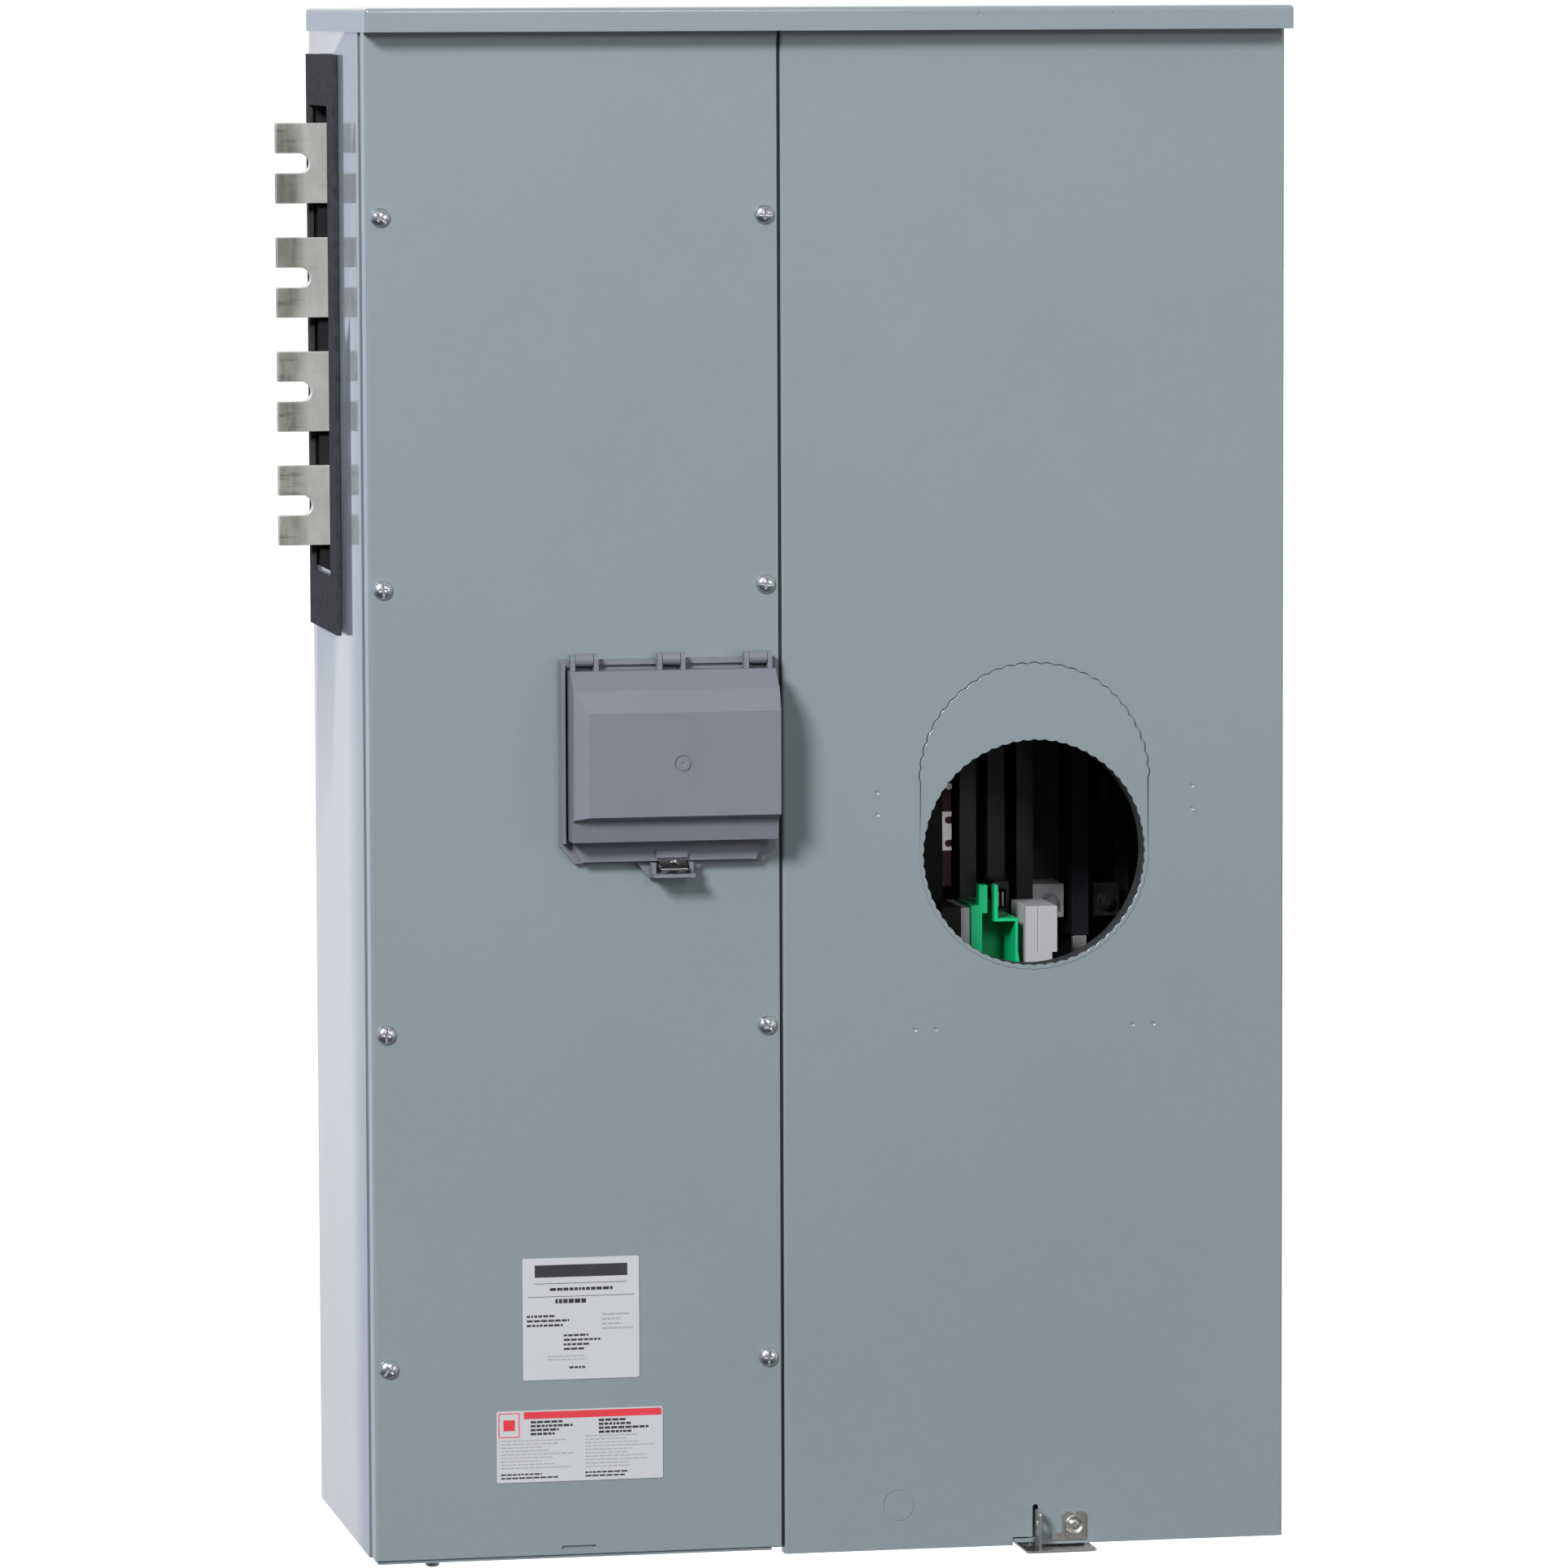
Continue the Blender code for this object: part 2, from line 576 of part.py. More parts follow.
def make_breaker():
    wide, deep, tall = BREAKER
    body = box(
        "breaker_body",
        (BREAKER_X - wide / 2, BREAKER_X + wide / 2),
        (BREAKER_FRONT, BREAKER_FRONT + deep),
        (BREAKER_Z - tall / 2, BREAKER_Z + tall / 2),
        "black_plastic",
    )
    half_x, half_z = ESCUTCHEON[0] / 2, ESCUTCHEON[1] / 2
    join(body, box("escutcheon", (BREAKER_X - half_x, BREAKER_X + half_x),
                   (ESCUTCHEON_FRONT, BREAKER_FRONT + 5.0), (BREAKER_Z - half_z, BREAKER_Z + half_z)))
    cut(body, box("handle_well", (BREAKER_X - 12.5, BREAKER_X + 12.5), (0.0, HANDLE_AXIS_Y + 16.0),
                  (BREAKER_Z - 23.0, BREAKER_Z + 23.0)))
    for i in (-1, 1):
        cut(body, box("phase_groove", (BREAKER_X + i * 23.0 - 2.0, BREAKER_X + i * 23.0 + 2.0),
                      (BREAKER_FRONT - 5.0, BREAKER_FRONT + 60.0), (BREAKER_Z + tall / 2 - 40.0, HEIGHT)))

    handle = box("breaker_handle", (BREAKER_X - 9.5, BREAKER_X + 9.5),
                 (HANDLE_AXIS_Y - HANDLE_REACH, HANDLE_AXIS_Y - 4.0), (BREAKER_Z - 5.0, BREAKER_Z + 5.0),
                 "black_plastic")
    join(handle, cylinder("handle_hub", "x", (BREAKER_X, HANDLE_AXIS_Y, BREAKER_Z), 9.0, 18.0, sides=20))
    turn = (
        Matrix.Translation(world(BREAKER_X, HANDLE_AXIS_Y, BREAKER_Z))
        @ Matrix.Rotation(math.radians(-HANDLE_TILT), 4, "X")
        @ Matrix.Translation(-world(BREAKER_X, HANDLE_AXIS_Y, BREAKER_Z))
    )
    bpy.context.view_layer.update()
    hub = bpy.data.objects["handle_hub"]
    for piece in (handle, hub):
        piece.matrix_world = turn @ piece.matrix_world
    pivot("handle_axis", world(BREAKER_X, HANDLE_AXIS_Y, BREAKER_Z), [handle, hub])

    back = BREAKER_FRONT + deep + GAP
    mount = box("breaker_plate", (40.0, 290.0), (back, back + 2.0), (410.0, 720.0), "steel")
    for x in (60.0, 270.0):
        for z in (420.0, 700.0):
            join(mount, box("plate_post", (x - 8.0, x + 8.0), (back + 1.0, BACK_INSIDE), (z, z + 16.0)))


def flap_section(inset):
    """The flap's side section, as (y, z) points, with its walls drawn in by inset."""
    i = inset
    return [
        (FLAP_BACK + i, 647.5 - i),
        (-24.0 + i * 0.6, 647.5 - i),
        (-40.0 + i, 634.5 - i * 0.4),
        (-45.0 + i, 618.8 - i * 0.3),
        (-45.0 + i, 544.0 + i * 0.6),
        (-37.0 + i, 539.0 + i * 0.6),
        (-34.0 + i, 525.0 + i),
        (FLAP_BACK + i, 525.0 + i),
    ]


def make_flap():
    x0, x1 = FLAP_X
    flap = plate("breaker_flap", "x", flap_section(0.0), (x0, x1), "grey_plastic")
    chamfer = [(x0 - 2.0, -39.0), (x0 - 0.01, -40.0), (152.2, -45.0), (153.0, -50.0), (x0 - 2.0, -50.0)]
    inner = plate("flap_hollow", "x", flap_section(FLAP_WALL), (x0 + FLAP_WALL, x1 - FLAP_WALL))
    inner_edge = [(x + 2.0, y + 2.4) for x, y in chamfer]
    cut(inner, plate("flap_hollow_chamfer", "z", inner_edge, (520.0, 660.0)))
    cut(flap, plate("flap_chamfer", "z", chamfer, (500.0, 700.0)), inner)
    lip = [(144.0, 526.0), (151.5, 509.0), (279.5, 509.0), (285.0, 526.0)]
    join(flap, plate("flap_lip", "y", lip, (-12.0, -9.4)))
    for i, x in enumerate(KNUCKLES):
        for side in (-1, 1):
            a, b = sorted((x + side * EAR[0], x + side * EAR[1]))
            ear = [(HINGE_Y - 4.7, 646.0), (HINGE_Y + 3.4, 646.0)] + arc((HINGE_Y, HINGE_Z), 4.7, 0, 180, 6)
            join(flap, plate(f"ear_{i}_{side}", "x", ear, (a, b)))
            middle = ((a + b) / 2, HINGE_Y, HINGE_Z)
            hole = cylinder(f"ear_hole_{i}_{side}", "x", middle, PIN_HOLE, 6.0, sides=12)
            cut(flap, hole)

    tongue = [(-12.3, 515.0), (-14.1, 515.0), (-14.1, 511.2), (-27.6, 504.4), (-26.8, 502.8), (-12.3, 510.1)]
    hasp = plate("flap_hasp", "x", tongue, HASP_X, "steel")
    cut(hasp, cylinder("hasp_hole", "z", (BREAKER_X, SHACKLE_Y, 507.0), SHACKLE_RADIUS, 16.0, sides=16))
    pivot("flap_axis", world(BREAKER_X, HINGE_Y, HINGE_Z), [flap, hasp])


def make_flap_base():
    """The frame on the left cover: hinge knuckles with stub pins above, a lug for the padlock below."""
    outline = [(137.0, 655.0), (137.0, 520.0), (147.5, 507.5), (286.0, 507.5), (295.0, 516.0), (295.0, 655.0)]
    lobe = [(190.0, 511.0), (202.0, 496.0), (233.0, 496.0), (245.0, 511.0)]
    base = plate("flap_base", "y", outline, (BASE_FRONT, -GAP), "grey_plastic")
    cut(base, box("base_window", (152.0, 282.0), (-10.0, 5.0), (529.0, 640.0)))
    join(
        base,
        plate("lug_lobe", "y", lobe, (BASE_FRONT + 0.1, -GAP - 0.1)),
        box("left_rib", (137.3, 139.8), (-16.0, BASE_FRONT + 1.0), (523.0, 653.0)),
        box("lug_left", (202.0, 205.2), (-18.0, -5.0), (498.0, 508.0)),
        box("lug_right", (229.5, 232.5), (-18.0, -5.0), (498.0, 508.0)),
        box("lug_floor", (202.1, 232.4), (-26.0, -5.0), (497.9, 500.4)),
    )
    cut(base, cylinder("lug_hole", "z", (BREAKER_X, SHACKLE_Y, 499.0), SHACKLE_RADIUS, 10.0, sides=16))
    for i, x in enumerate(KNUCKLES):
        span = (x - KNUCKLE_HALF, x + KNUCKLE_HALF)
        knuckle = arc((HINGE_Y, HINGE_Z), 4.6, 270, 75, 9) + [(-5.0, 656.5), (-5.0, 651.0)]
        stub = cylinder(f"stub_{i}", "x", (x, HINGE_Y, HINGE_Z), PIN_RADIUS, 2 * EAR[1] + 1.0, sides=12)
        join(base, plate(f"knuckle_{i}", "x", knuckle, span), stub)


def make_meter_socket():
    """What the meter plugs into: a board, risers from the bus, pads, straps and moulded barriers."""
    board = box("meter_base_board", BOARD[0], (RISER_Y[1] + GAP, RISER_Y[1] + 8.0), BOARD[1], "black_plastic")
    for x in (412.0, 606.0):
        for z in (335.0, 670.0):
            join(board, box("board_post", (x, x + 12.0), (RISER_Y[1] + 5.0, BACK_INSIDE), (z, z + 15.0)))
    for i, x in enumerate(RISER_X):
        half = RISER_WIDTH / 2
        top = bar_z(i) + 20.0
        riser = box(f"riser_{i + 1}", (x - half, x + half), RISER_Y, (RISER_BOTTOM, top), "sleeve")
        join(riser, box(f"riser_foot_{i + 1}", (x - half + 0.2, x + half - 0.2),
                        (RISER_Y[0] + 10.0, BAR_Y - GAP), (bar_z(i) - FOOT_HALF, bar_z(i) + FOOT_HALF)))
        pad_x = (x + half + GAP, x + half + GAP + 26.0)
        box(f"line_pad_{i + 1}", pad_x, (200.0, RISER_Y[1]), (437.5, 463.0), "tin")
        bolt = cylinder(f"line_bolt_{i + 1}", "y", (sum(pad_x) / 2 + 2.0, 194.7, 449.0), 7.5, 10.0, "zinc", 6)
        bolt.rotation_euler = (0.0, math.radians(15.0), 0.0)
        make_load_strap(i, x)
    box("link_board", (430.0, 470.0), (205.0, RISER_Y[1]), (462.0, 540.0), "red_board")
    link = box("link_bar", (452.0, 469.5), (201.7, 204.7), (489.5, 519.5), "tin")
    for z in (497.0, 512.0):
        cut(link, cylinder("link_hole", "y", (463.0, 203.0, z), 2.6, 10.0, sides=12))
    make_barriers()
    neutral = box("neutral_strap", NEUTRAL_X, (222.0, 228.0), (420.0, bar_z(3) + 20.0), "tin")
    join(neutral, box("neutral_foot", (NEUTRAL_X[0] + 0.2, NEUTRAL_X[1] - 0.2), (225.0, BAR_Y - GAP),
                      (bar_z(3) - FOOT_HALF, bar_z(3) + FOOT_HALF)))
    lug = box("earth_lug", EARTH_X, (262.0, BACK_INSIDE), (60.0, 84.0), "tin")
    cut(lug, cylinder("lug_bore", "z", (576.0, 273.0, 72.0), 6.5, 40.0, sides=16))


def make_load_strap(i, x):
    """A strap from the meter's load jaw, over the divider's window, down onto one pole of the breaker."""
    pole = BREAKER_X + 38.0 - 46.0 * i
    front, back = 150.0 + 11.0 * i, 156.0 + 11.0 * i
    level = 740.0 + 18.0 * i
    breaker_top = BREAKER_Z + BREAKER[2] / 2 + GAP
    strap = box(f"load_strap_{i + 1}", (pole, x + 20.0), (front, back), (level, level + 14.0), "tin")
    join(
        strap,
        box(f"strap_drop_{i + 1}", (x - 10.0, x + 19.9), (front + 0.1, back - 0.1), (600.0, level + 10.0)),
        box(f"strap_jaw_{i + 1}", (x + 8.0, x + 19.8), (front + 0.2, RISER_Y[1]), (600.1, 616.0)),
        box(f"strap_leg_{i + 1}", (pole + 0.1, pole + 20.0), (front + 0.1, back - 0.1),
            (breaker_top + 0.1, level + 10.0)),
        box(f"strap_foot_{i + 1}", (pole + 0.2, pole + 19.9), (60.0, back - 0.2),
            (breaker_top, breaker_top + 6.0)),
    )


def make_barriers():
    """The moulded blocks behind the meter opening, on the ledge that carries them."""
    foot = LEDGE_TOP + GAP
    box("socket_block", (430.0, 600.0), (78.0, RISER_Y[1]), (385.0, LEDGE_TOP), "black_plastic")
    green = plate(
        "green_barrier",
        "y",
        [(458.0, foot), (497.0, foot), (493.6, 427.0), (493.6, 451.0), (478.5, 451.0), (478.5, 476.0),
         (464.0, 476.0), (464.0, 461.0), (458.0, 461.0)],
        (80.0, 130.0),
        "green_plastic",
    )
    cut(green, plate(
        "green_hollow",
        "y",
        [(466.5, 380.0), (491.5, 380.0), (491.5, 448.6), (475.6, 448.6), (475.6, 480.0), (470.5, 480.0),
         (470.5, 455.0), (466.5, 455.0)],
        (70.0, 126.0),
    ))
    box("grey_block_left", (436.0, 457.7), (82.0, 140.0), (foot, 459.5), "light_plastic")
    right = box("grey_block_right", (499.4, 523.3), (80.0, 130.0), (foot, 459.5), "light_plastic")
    cut(right, box("block_step", (519.5, 530.0), (70.0, 140.0), (LEDGE_TOP, 425.0)))
    terminal = box("test_terminal_block", (488.0, 500.0), (140.3, 180.0), (foot, 472.5), "black_plastic")
    cut(terminal, box("terminal_window", (490.6, 497.4), (135.0, 150.0), (452.0, 466.0)))


def make_labels():
    for name, (x, z) in (("rating_label", RATING_LABEL), ("warning_label", WARNING_LABEL)):
        box(name, x, (-GAP - LABEL_THICKNESS, -GAP), z, "label")


clear_scene()
PARTS = make_collection("meter_socket_enclosure")
CUTTERS = make_collection("cutters")
make_enclosure()
make_rain_cap()
make_divider()
make_left_cover()
make_meter_cover()
make_meter_staple()
make_screws()
make_bus()
make_breaker()
make_flap()
make_flap_base()
make_meter_socket()
make_labels()
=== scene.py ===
"""Looks of the meter socket enclosure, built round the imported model.

Lengths are in millimetres from the left side wall (x), back from the covers' front faces (y)
and up from the side walls' lower edge (z). world() turns them into metres in the row frame.
"""
import json
import math

import bmesh
import bpy
from mathutils import Matrix, Vector

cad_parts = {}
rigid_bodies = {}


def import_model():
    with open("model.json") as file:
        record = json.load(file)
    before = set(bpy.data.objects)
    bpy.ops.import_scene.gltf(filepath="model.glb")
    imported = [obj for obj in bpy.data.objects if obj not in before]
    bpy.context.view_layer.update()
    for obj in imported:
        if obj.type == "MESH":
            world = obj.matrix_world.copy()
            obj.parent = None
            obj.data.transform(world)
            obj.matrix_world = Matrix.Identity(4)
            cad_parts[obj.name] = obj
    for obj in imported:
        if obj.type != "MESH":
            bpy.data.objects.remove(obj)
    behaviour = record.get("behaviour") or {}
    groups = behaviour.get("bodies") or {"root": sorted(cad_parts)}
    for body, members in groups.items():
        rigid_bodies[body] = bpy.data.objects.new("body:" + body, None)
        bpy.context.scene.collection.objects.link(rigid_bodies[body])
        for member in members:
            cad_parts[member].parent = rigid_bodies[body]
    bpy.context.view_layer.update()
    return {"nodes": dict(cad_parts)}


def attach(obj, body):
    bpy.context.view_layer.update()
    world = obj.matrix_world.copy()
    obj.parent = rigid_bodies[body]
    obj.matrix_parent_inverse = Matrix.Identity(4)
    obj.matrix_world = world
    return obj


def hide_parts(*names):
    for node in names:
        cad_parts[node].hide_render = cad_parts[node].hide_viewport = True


for old in list(bpy.data.objects):
    bpy.data.objects.remove(old, do_unlink=True)
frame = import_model()

MM = 0.001
GAP = 0.3
SHEET = 1.6
BEND = 2.4
THROUGH = (-5.0, 10.0)      # from front to back, a tool that cuts right through a cover
DRILL = 10.0
WIDTH, DEPTH, HEIGHT = 675.0, 290.0, 1122.0
SEAM, SEAM_HALF = 299.9, 1.15
FLANGE_DEPTH = 19.0
LEFT_COVER_BOTTOM, METER_COVER_BOTTOM, COVER_TOP = 3.0, -3.0, 1112.0
SCREW_X = (10.5, 289.5)
SCREW_Z = (973.4, 707.0, 386.3, 143.0)
SCREW_HOLE = 3.0
SEAL_X, SEAL_Z, STAPLE_X = 517.0, 11.2, 488.4
METER_X, METER_Z, METER_HOLE = 488.2, 507.4, 81.8
INSERT_RADIUS, INSERT_TOP_ARC = 85.6, 560.6
FOAM_Y, FOAM_Z = (138.0, 281.0), (664.5, 1088.2)
FOAM_OPENING_Y, FOAM_OPENING_Z = (170.0, 269.0), (704.5, 1050.5)
BAR_END, BAR_Y, BAR_THICKNESS, BAR_HEIGHT = -30.0, 257.0, 6.35, 59.4
BAR_TOP_Z, BAR_PITCH, BAR_SLOT, BAR_SLOT_END = 1007.4, 84.7, 15.0, -5.0
FLAP_X, FLAP_WALL, FLAP_BACK = (142.0, 292.0), 2.5, -8.0
FLAP_TOP, FLAP_BOTTOM, FLAP_FRONT = 647.5, 525.0, -45.0
PADLOCK_X, PADLOCK_Y, PADLOCK_RADIUS = 217.5, -20.5, 3.4
HINGE_Y, HINGE_Z, PIN_RADIUS, PIN_HOLE = -11.5, 655.0, 1.5, 1.9
KNUCKLES, KNUCKLE_HALF, EAR = (154.0, 217.5, 281.0), 6.5, (6.9, 10.1)
RISER_X, RISER_Y, RISER_WIDTH, RISER_BOTTOM = (479.3, 522.8, 565.6), (190.0, 236.0), 12.6, 425.0
BLOCK_FOOT, BLOCK_TOP = 404.3, 459.5


def world(x, y, z):
    return Vector((x - WIDTH / 2, y - DEPTH, z - HEIGHT / 2)) * MM


# ---- materials

class Look:
    """A material under construction: its node tree, its shader and short ways to add nodes."""

    def __init__(self, name, roughness=0.5, metallic=0.0, coat=0.0, coat_roughness=0.05, specular=0.5):
        self.material = bpy.data.materials.new(name)
        self.material.use_nodes = True
        self.nodes = self.material.node_tree.nodes
        self.links = self.material.node_tree.links
        self.shader = self.nodes["Principled BSDF"]
        self.shader.inputs["Metallic"].default_value = metallic
        self.shader.inputs["Roughness"].default_value = roughness
        self.shader.inputs["Coat Weight"].default_value = coat
        self.shader.inputs["Coat Roughness"].default_value = coat_roughness
        self.shader.inputs["Specular IOR Level"].default_value = specular
        self.place = self.nodes.new("ShaderNodeTexCoord").outputs["Object"]
        self.bumped = None

    def stretched(self, scale):
        node = self.nodes.new("ShaderNodeMapping")
        node.inputs["Scale"].default_value = scale
        self.links.new(self.place, node.inputs["Vector"])
        return node.outputs["Vector"]

    def noise(self, scale, detail=3.0, roughness=0.5, stretch=None):
        node = self.nodes.new("ShaderNodeTexNoise")
        node.inputs["Scale"].default_value = scale
        node.inputs["Detail"].default_value = detail
        node.inputs["Roughness"].default_value = roughness
        self.links.new(self.stretched(stretch) if stretch else self.place, node.inputs["Vector"])
        return node.outputs["Fac"]

    def cells(self, scale):
        """Distance to the nearest of scattered points, and a random value for each of them."""
        node = self.nodes.new("ShaderNodeTexVoronoi")
        node.inputs["Scale"].default_value = scale
        self.links.new(self.place, node.inputs["Vector"])
        return node.outputs["Distance"], node.outputs["Color"]

    def ramp(self, value, low, high, out_low=0.0, out_high=1.0):
        node = self.nodes.new("ShaderNodeMapRange")
        node.inputs["From Min"].default_value = low
        node.inputs["From Max"].default_value = high
        node.inputs["To Min"].default_value = out_low
        node.inputs["To Max"].default_value = out_high
        self.links.new(value, node.inputs["Value"])
        return node.outputs["Result"]

    def math(self, operation, a, b):
        node = self.nodes.new("ShaderNodeMath")
        node.operation = operation
        for socket, value in zip(node.inputs, (a, b)):
            if isinstance(value, (int, float)):
                socket.default_value = value
            else:
                self.links.new(value, socket)
        return node.outputs[0]

    def axis(self, name):
        node = self.nodes.new("ShaderNodeSeparateXYZ")
        self.links.new(self.place, node.inputs[0])
        return node.outputs[name]

    def mix(self, a, b, factor, blend="MIX"):
        node = self.nodes.new("ShaderNodeMix")
        node.data_type = "RGBA"
        node.blend_type = blend
        for socket, value in ((node.inputs[6], a), (node.inputs[7], b)):
            if isinstance(value, tuple):
                socket.default_value = (*value, 1.0)
            else:
                self.links.new(value, socket)
        if isinstance(factor, (int, float)):
            node.inputs[0].default_value = factor
        else:
            self.links.new(factor, node.inputs[0])
        return node.outputs[2]

    def edges(self, radius_mm, gain=6.0):
        """1 on the piece's sharp edges and 0 on its faces."""
        bevel = self.nodes.new("ShaderNodeBevel")
        bevel.samples = 4
        bevel.inputs["Radius"].default_value = radius_mm * MM
        flat = self.nodes.new("ShaderNodeNewGeometry")
        dot = self.nodes.new("ShaderNodeVectorMath")
        dot.operation = "DOT_PRODUCT"
        self.links.new(bevel.outputs[0], dot.inputs[0])
        self.links.new(flat.outputs["Normal"], dot.inputs[1])
        off = self.math("SUBTRACT", 1.0, dot.outputs["Value"])
        clamped = self.nodes.new("ShaderNodeClamp")
        self.links.new(self.math("MULTIPLY", off, gain), clamped.inputs["Value"])
        return clamped.outputs[0]

    def bump(self, height, strength, distance_mm):
        node = self.nodes.new("ShaderNodeBump")
        node.inputs["Strength"].default_value = strength
        node.inputs["Distance"].default_value = distance_mm * MM
        self.links.new(height, node.inputs["Height"])
        if self.bumped:
            self.links.new(self.bumped, node.inputs["Normal"])
        self.bumped = node.outputs["Normal"]
        self.links.new(self.bumped, self.shader.inputs["Normal"])

    def done(self, colour, roughness=None):
        self.links.new(colour, self.shader.inputs["Base Color"])
        if roughness is not None:
            self.links.new(roughness, self.shader.inputs["Roughness"])
        return self.material


def paint(name, colour, light, dark):
    """Glossy enamel over steel: faint clouding, painted light that makes it lighter towards the top, orange
    peel, a few specks, rubbed edges.
    """
    look = Look(name, coat=0.85, coat_roughness=0.045)
    cloud = look.noise(2.6, 2.0)
    base = look.mix(colour, light, look.ramp(cloud, 0.15, 0.85, 0.0, 0.6))
    # Painted light: the paint is mixed towards its lighter tone from bottom to top, as if lit from above.
    height = look.ramp(look.axis("Z"), -0.56, 0.56)
    base = look.mix(base, light, look.math("MULTIPLY", height, 0.35))
    mottle = look.noise(160.0, 3.0)
    base = look.mix(base, dark, look.ramp(mottle, 0.3, 0.8, 0.0, 0.10))
    distance, chance = look.cells(12.0)
    small = look.math("LESS_THAN", distance, 0.011)
    speck = look.math("MULTIPLY", small, look.math("GREATER_THAN", chance, 0.93))
    base = look.mix(base, (0.05, 0.07, 0.09), look.math("MULTIPLY", speck, 0.6))
    wear = look.math("MULTIPLY", look.edges(0.8), look.ramp(look.noise(60.0), 0.3, 0.6, 0.25, 0.8))
    base = look.mix(base, light, wear)
    look.bump(look.noise(330.0, 1.0), 0.03, 0.2)
    return look.done(base, look.ramp(look.noise(14.0), 0.1, 0.9, 0.25, 0.38))


def moulded(name, colour, light, roughness=0.42, grain=0.25, coat=0.0):
    """Moulded plastic: fine spark texture, slight flow marks and rubbed edges."""
    look = Look(name, coat=coat, coat_roughness=0.15, specular=0.4)
    flow = look.noise(30.0, 3.0, stretch=(1.0, 1.0, 0.35))
    base = look.mix(colour, light, look.ramp(flow, 0.3, 0.8, 0.0, 0.35))
    base = look.mix(base, light, look.ramp(look.noise(2200.0, 1.0), 0.45, 0.8, 0.0, 0.25))
    base = look.mix(base, light, look.math("MULTIPLY", look.edges(0.6), 0.5))
    look.bump(look.noise(2600.0, 2.0), grain, 0.05)
    return look.done(base, look.ramp(look.noise(60.0), 0.3, 0.7, roughness - 0.05, roughness + 0.08))


def metal(name, colour, dark, roughness, stretch, streak=0.5, grain=900.0, stain=0.4):
    """Rolled or plated metal: drawn streaks, dull blotches and bright rubbed edges."""
    look = Look(name, metallic=1.0)
    lines = look.noise(grain, 3.0, 0.6, stretch)
    blotch = look.noise(45.0, 4.0, 0.65)
    base = look.mix(colour, dark, look.ramp(lines, 0.35, 0.75, 0.0, streak))
    base = look.mix(base, dark, look.ramp(blotch, 0.45, 0.75, 0.0, stain))
    base = look.mix(base, tuple(min(1.0, c * 1.35 + 0.05) for c in colour), look.edges(0.5))
    look.bump(lines, 0.12, 0.05)
    look.bump(blotch, 0.05, 0.3)
    return look.done(base, look.ramp(blotch, 0.3, 0.75, roughness - 0.08, roughness + 0.12))


def foam(name):
    """Closed-cell foam: near black with open pores and a dusting of light specks."""
    look = Look(name, specular=0.2)
    distance, chance = look.cells(900.0)
    dust = look.ramp(look.noise(120.0, 4.0, 0.7), 0.3, 0.7)
    base = look.mix((0.022, 0.023, 0.025), (0.052, 0.053, 0.057), dust)
    small = look.math("LESS_THAN", distance, 0.35)
    fleck = look.math("MULTIPLY", small, look.math("GREATER_THAN", chance, 0.78))
    base = look.mix(base, (0.075, 0.08, 0.09), look.math("MULTIPLY", fleck, 0.7))
    look.bump(look.ramp(distance, 0.0, 0.6), 0.5, 0.35)
    look.bump(look.noise(150.0, 3.0), 0.35, 0.5)
    return look.done(base, look.ramp(look.noise(300.0), 0.3, 0.7, 0.80, 0.98))


def tin(name):
    """Tin-plated bar: dull grey-green, vertical drawn streaks, darker stains, a painted highlight where it
    passes into the side wall, bright edges.
    """
    look = Look(name, metallic=0.35)
    lines = look.noise(170.0, 4.0, 0.6, (1.0, 1.0, 0.10))
    blotch = look.noise(38.0, 5.0, 0.7, (1.0, 1.0, 0.6))
    cloud = look.noise(14.0, 2.0, 0.5, (1.5, 1.0, 0.7))
    drawn = look.noise(210.0, 3.0, 0.6, (0.10, 1.0, 1.0))
    base = look.mix((0.34, 0.34, 0.30), (0.16, 0.16, 0.14), look.ramp(lines, 0.42, 0.66, 0.0, 0.7))
    base = look.mix(base, (0.50, 0.50, 0.46), look.ramp(blotch, 0.45, 0.70, 0.0, 0.8))
    base = look.mix(base, (0.09, 0.09, 0.08), look.ramp(drawn, 0.54, 0.68, 0.0, 0.7))
    base = look.mix(base, (0.14, 0.14, 0.12), look.ramp(cloud, 0.50, 0.68, 0.0, 0.5))
    # Painted highlight: the bars are made lighter from about 16 mm outside the side wall inwards.
    base = look.mix(base, (0.68, 0.68, 0.65), look.ramp(look.axis("X"), -0.354, -0.345, 0.0, 0.7))
    base = look.mix(base, (0.95, 0.95, 0.90), look.edges(1.0))
    look.bump(lines, 0.10, 0.10)
    return look.done(base, look.ramp(blotch, 0.3, 0.7, 0.30, 0.52))


def film(name, colour, dirt):
    """Printed label film: half-glossy, slightly wavy and a little dirty."""
    look = Look(name, coat=0.3, coat_roughness=0.2, specular=0.4)
    base = look.mix(colour, dirt, look.ramp(look.noise(40.0, 3.0), 0.35, 0.8, 0.0, 0.25))
    base = look.mix(base, dirt, look.ramp(look.noise(1500.0, 1.0), 0.5, 0.8, 0.0, 0.15))
    look.bump(look.noise(25.0, 2.0), 0.10, 0.3)
    return look.done(base, look.ramp(look.noise(50.0), 0.3, 0.7, 0.35, 0.5))


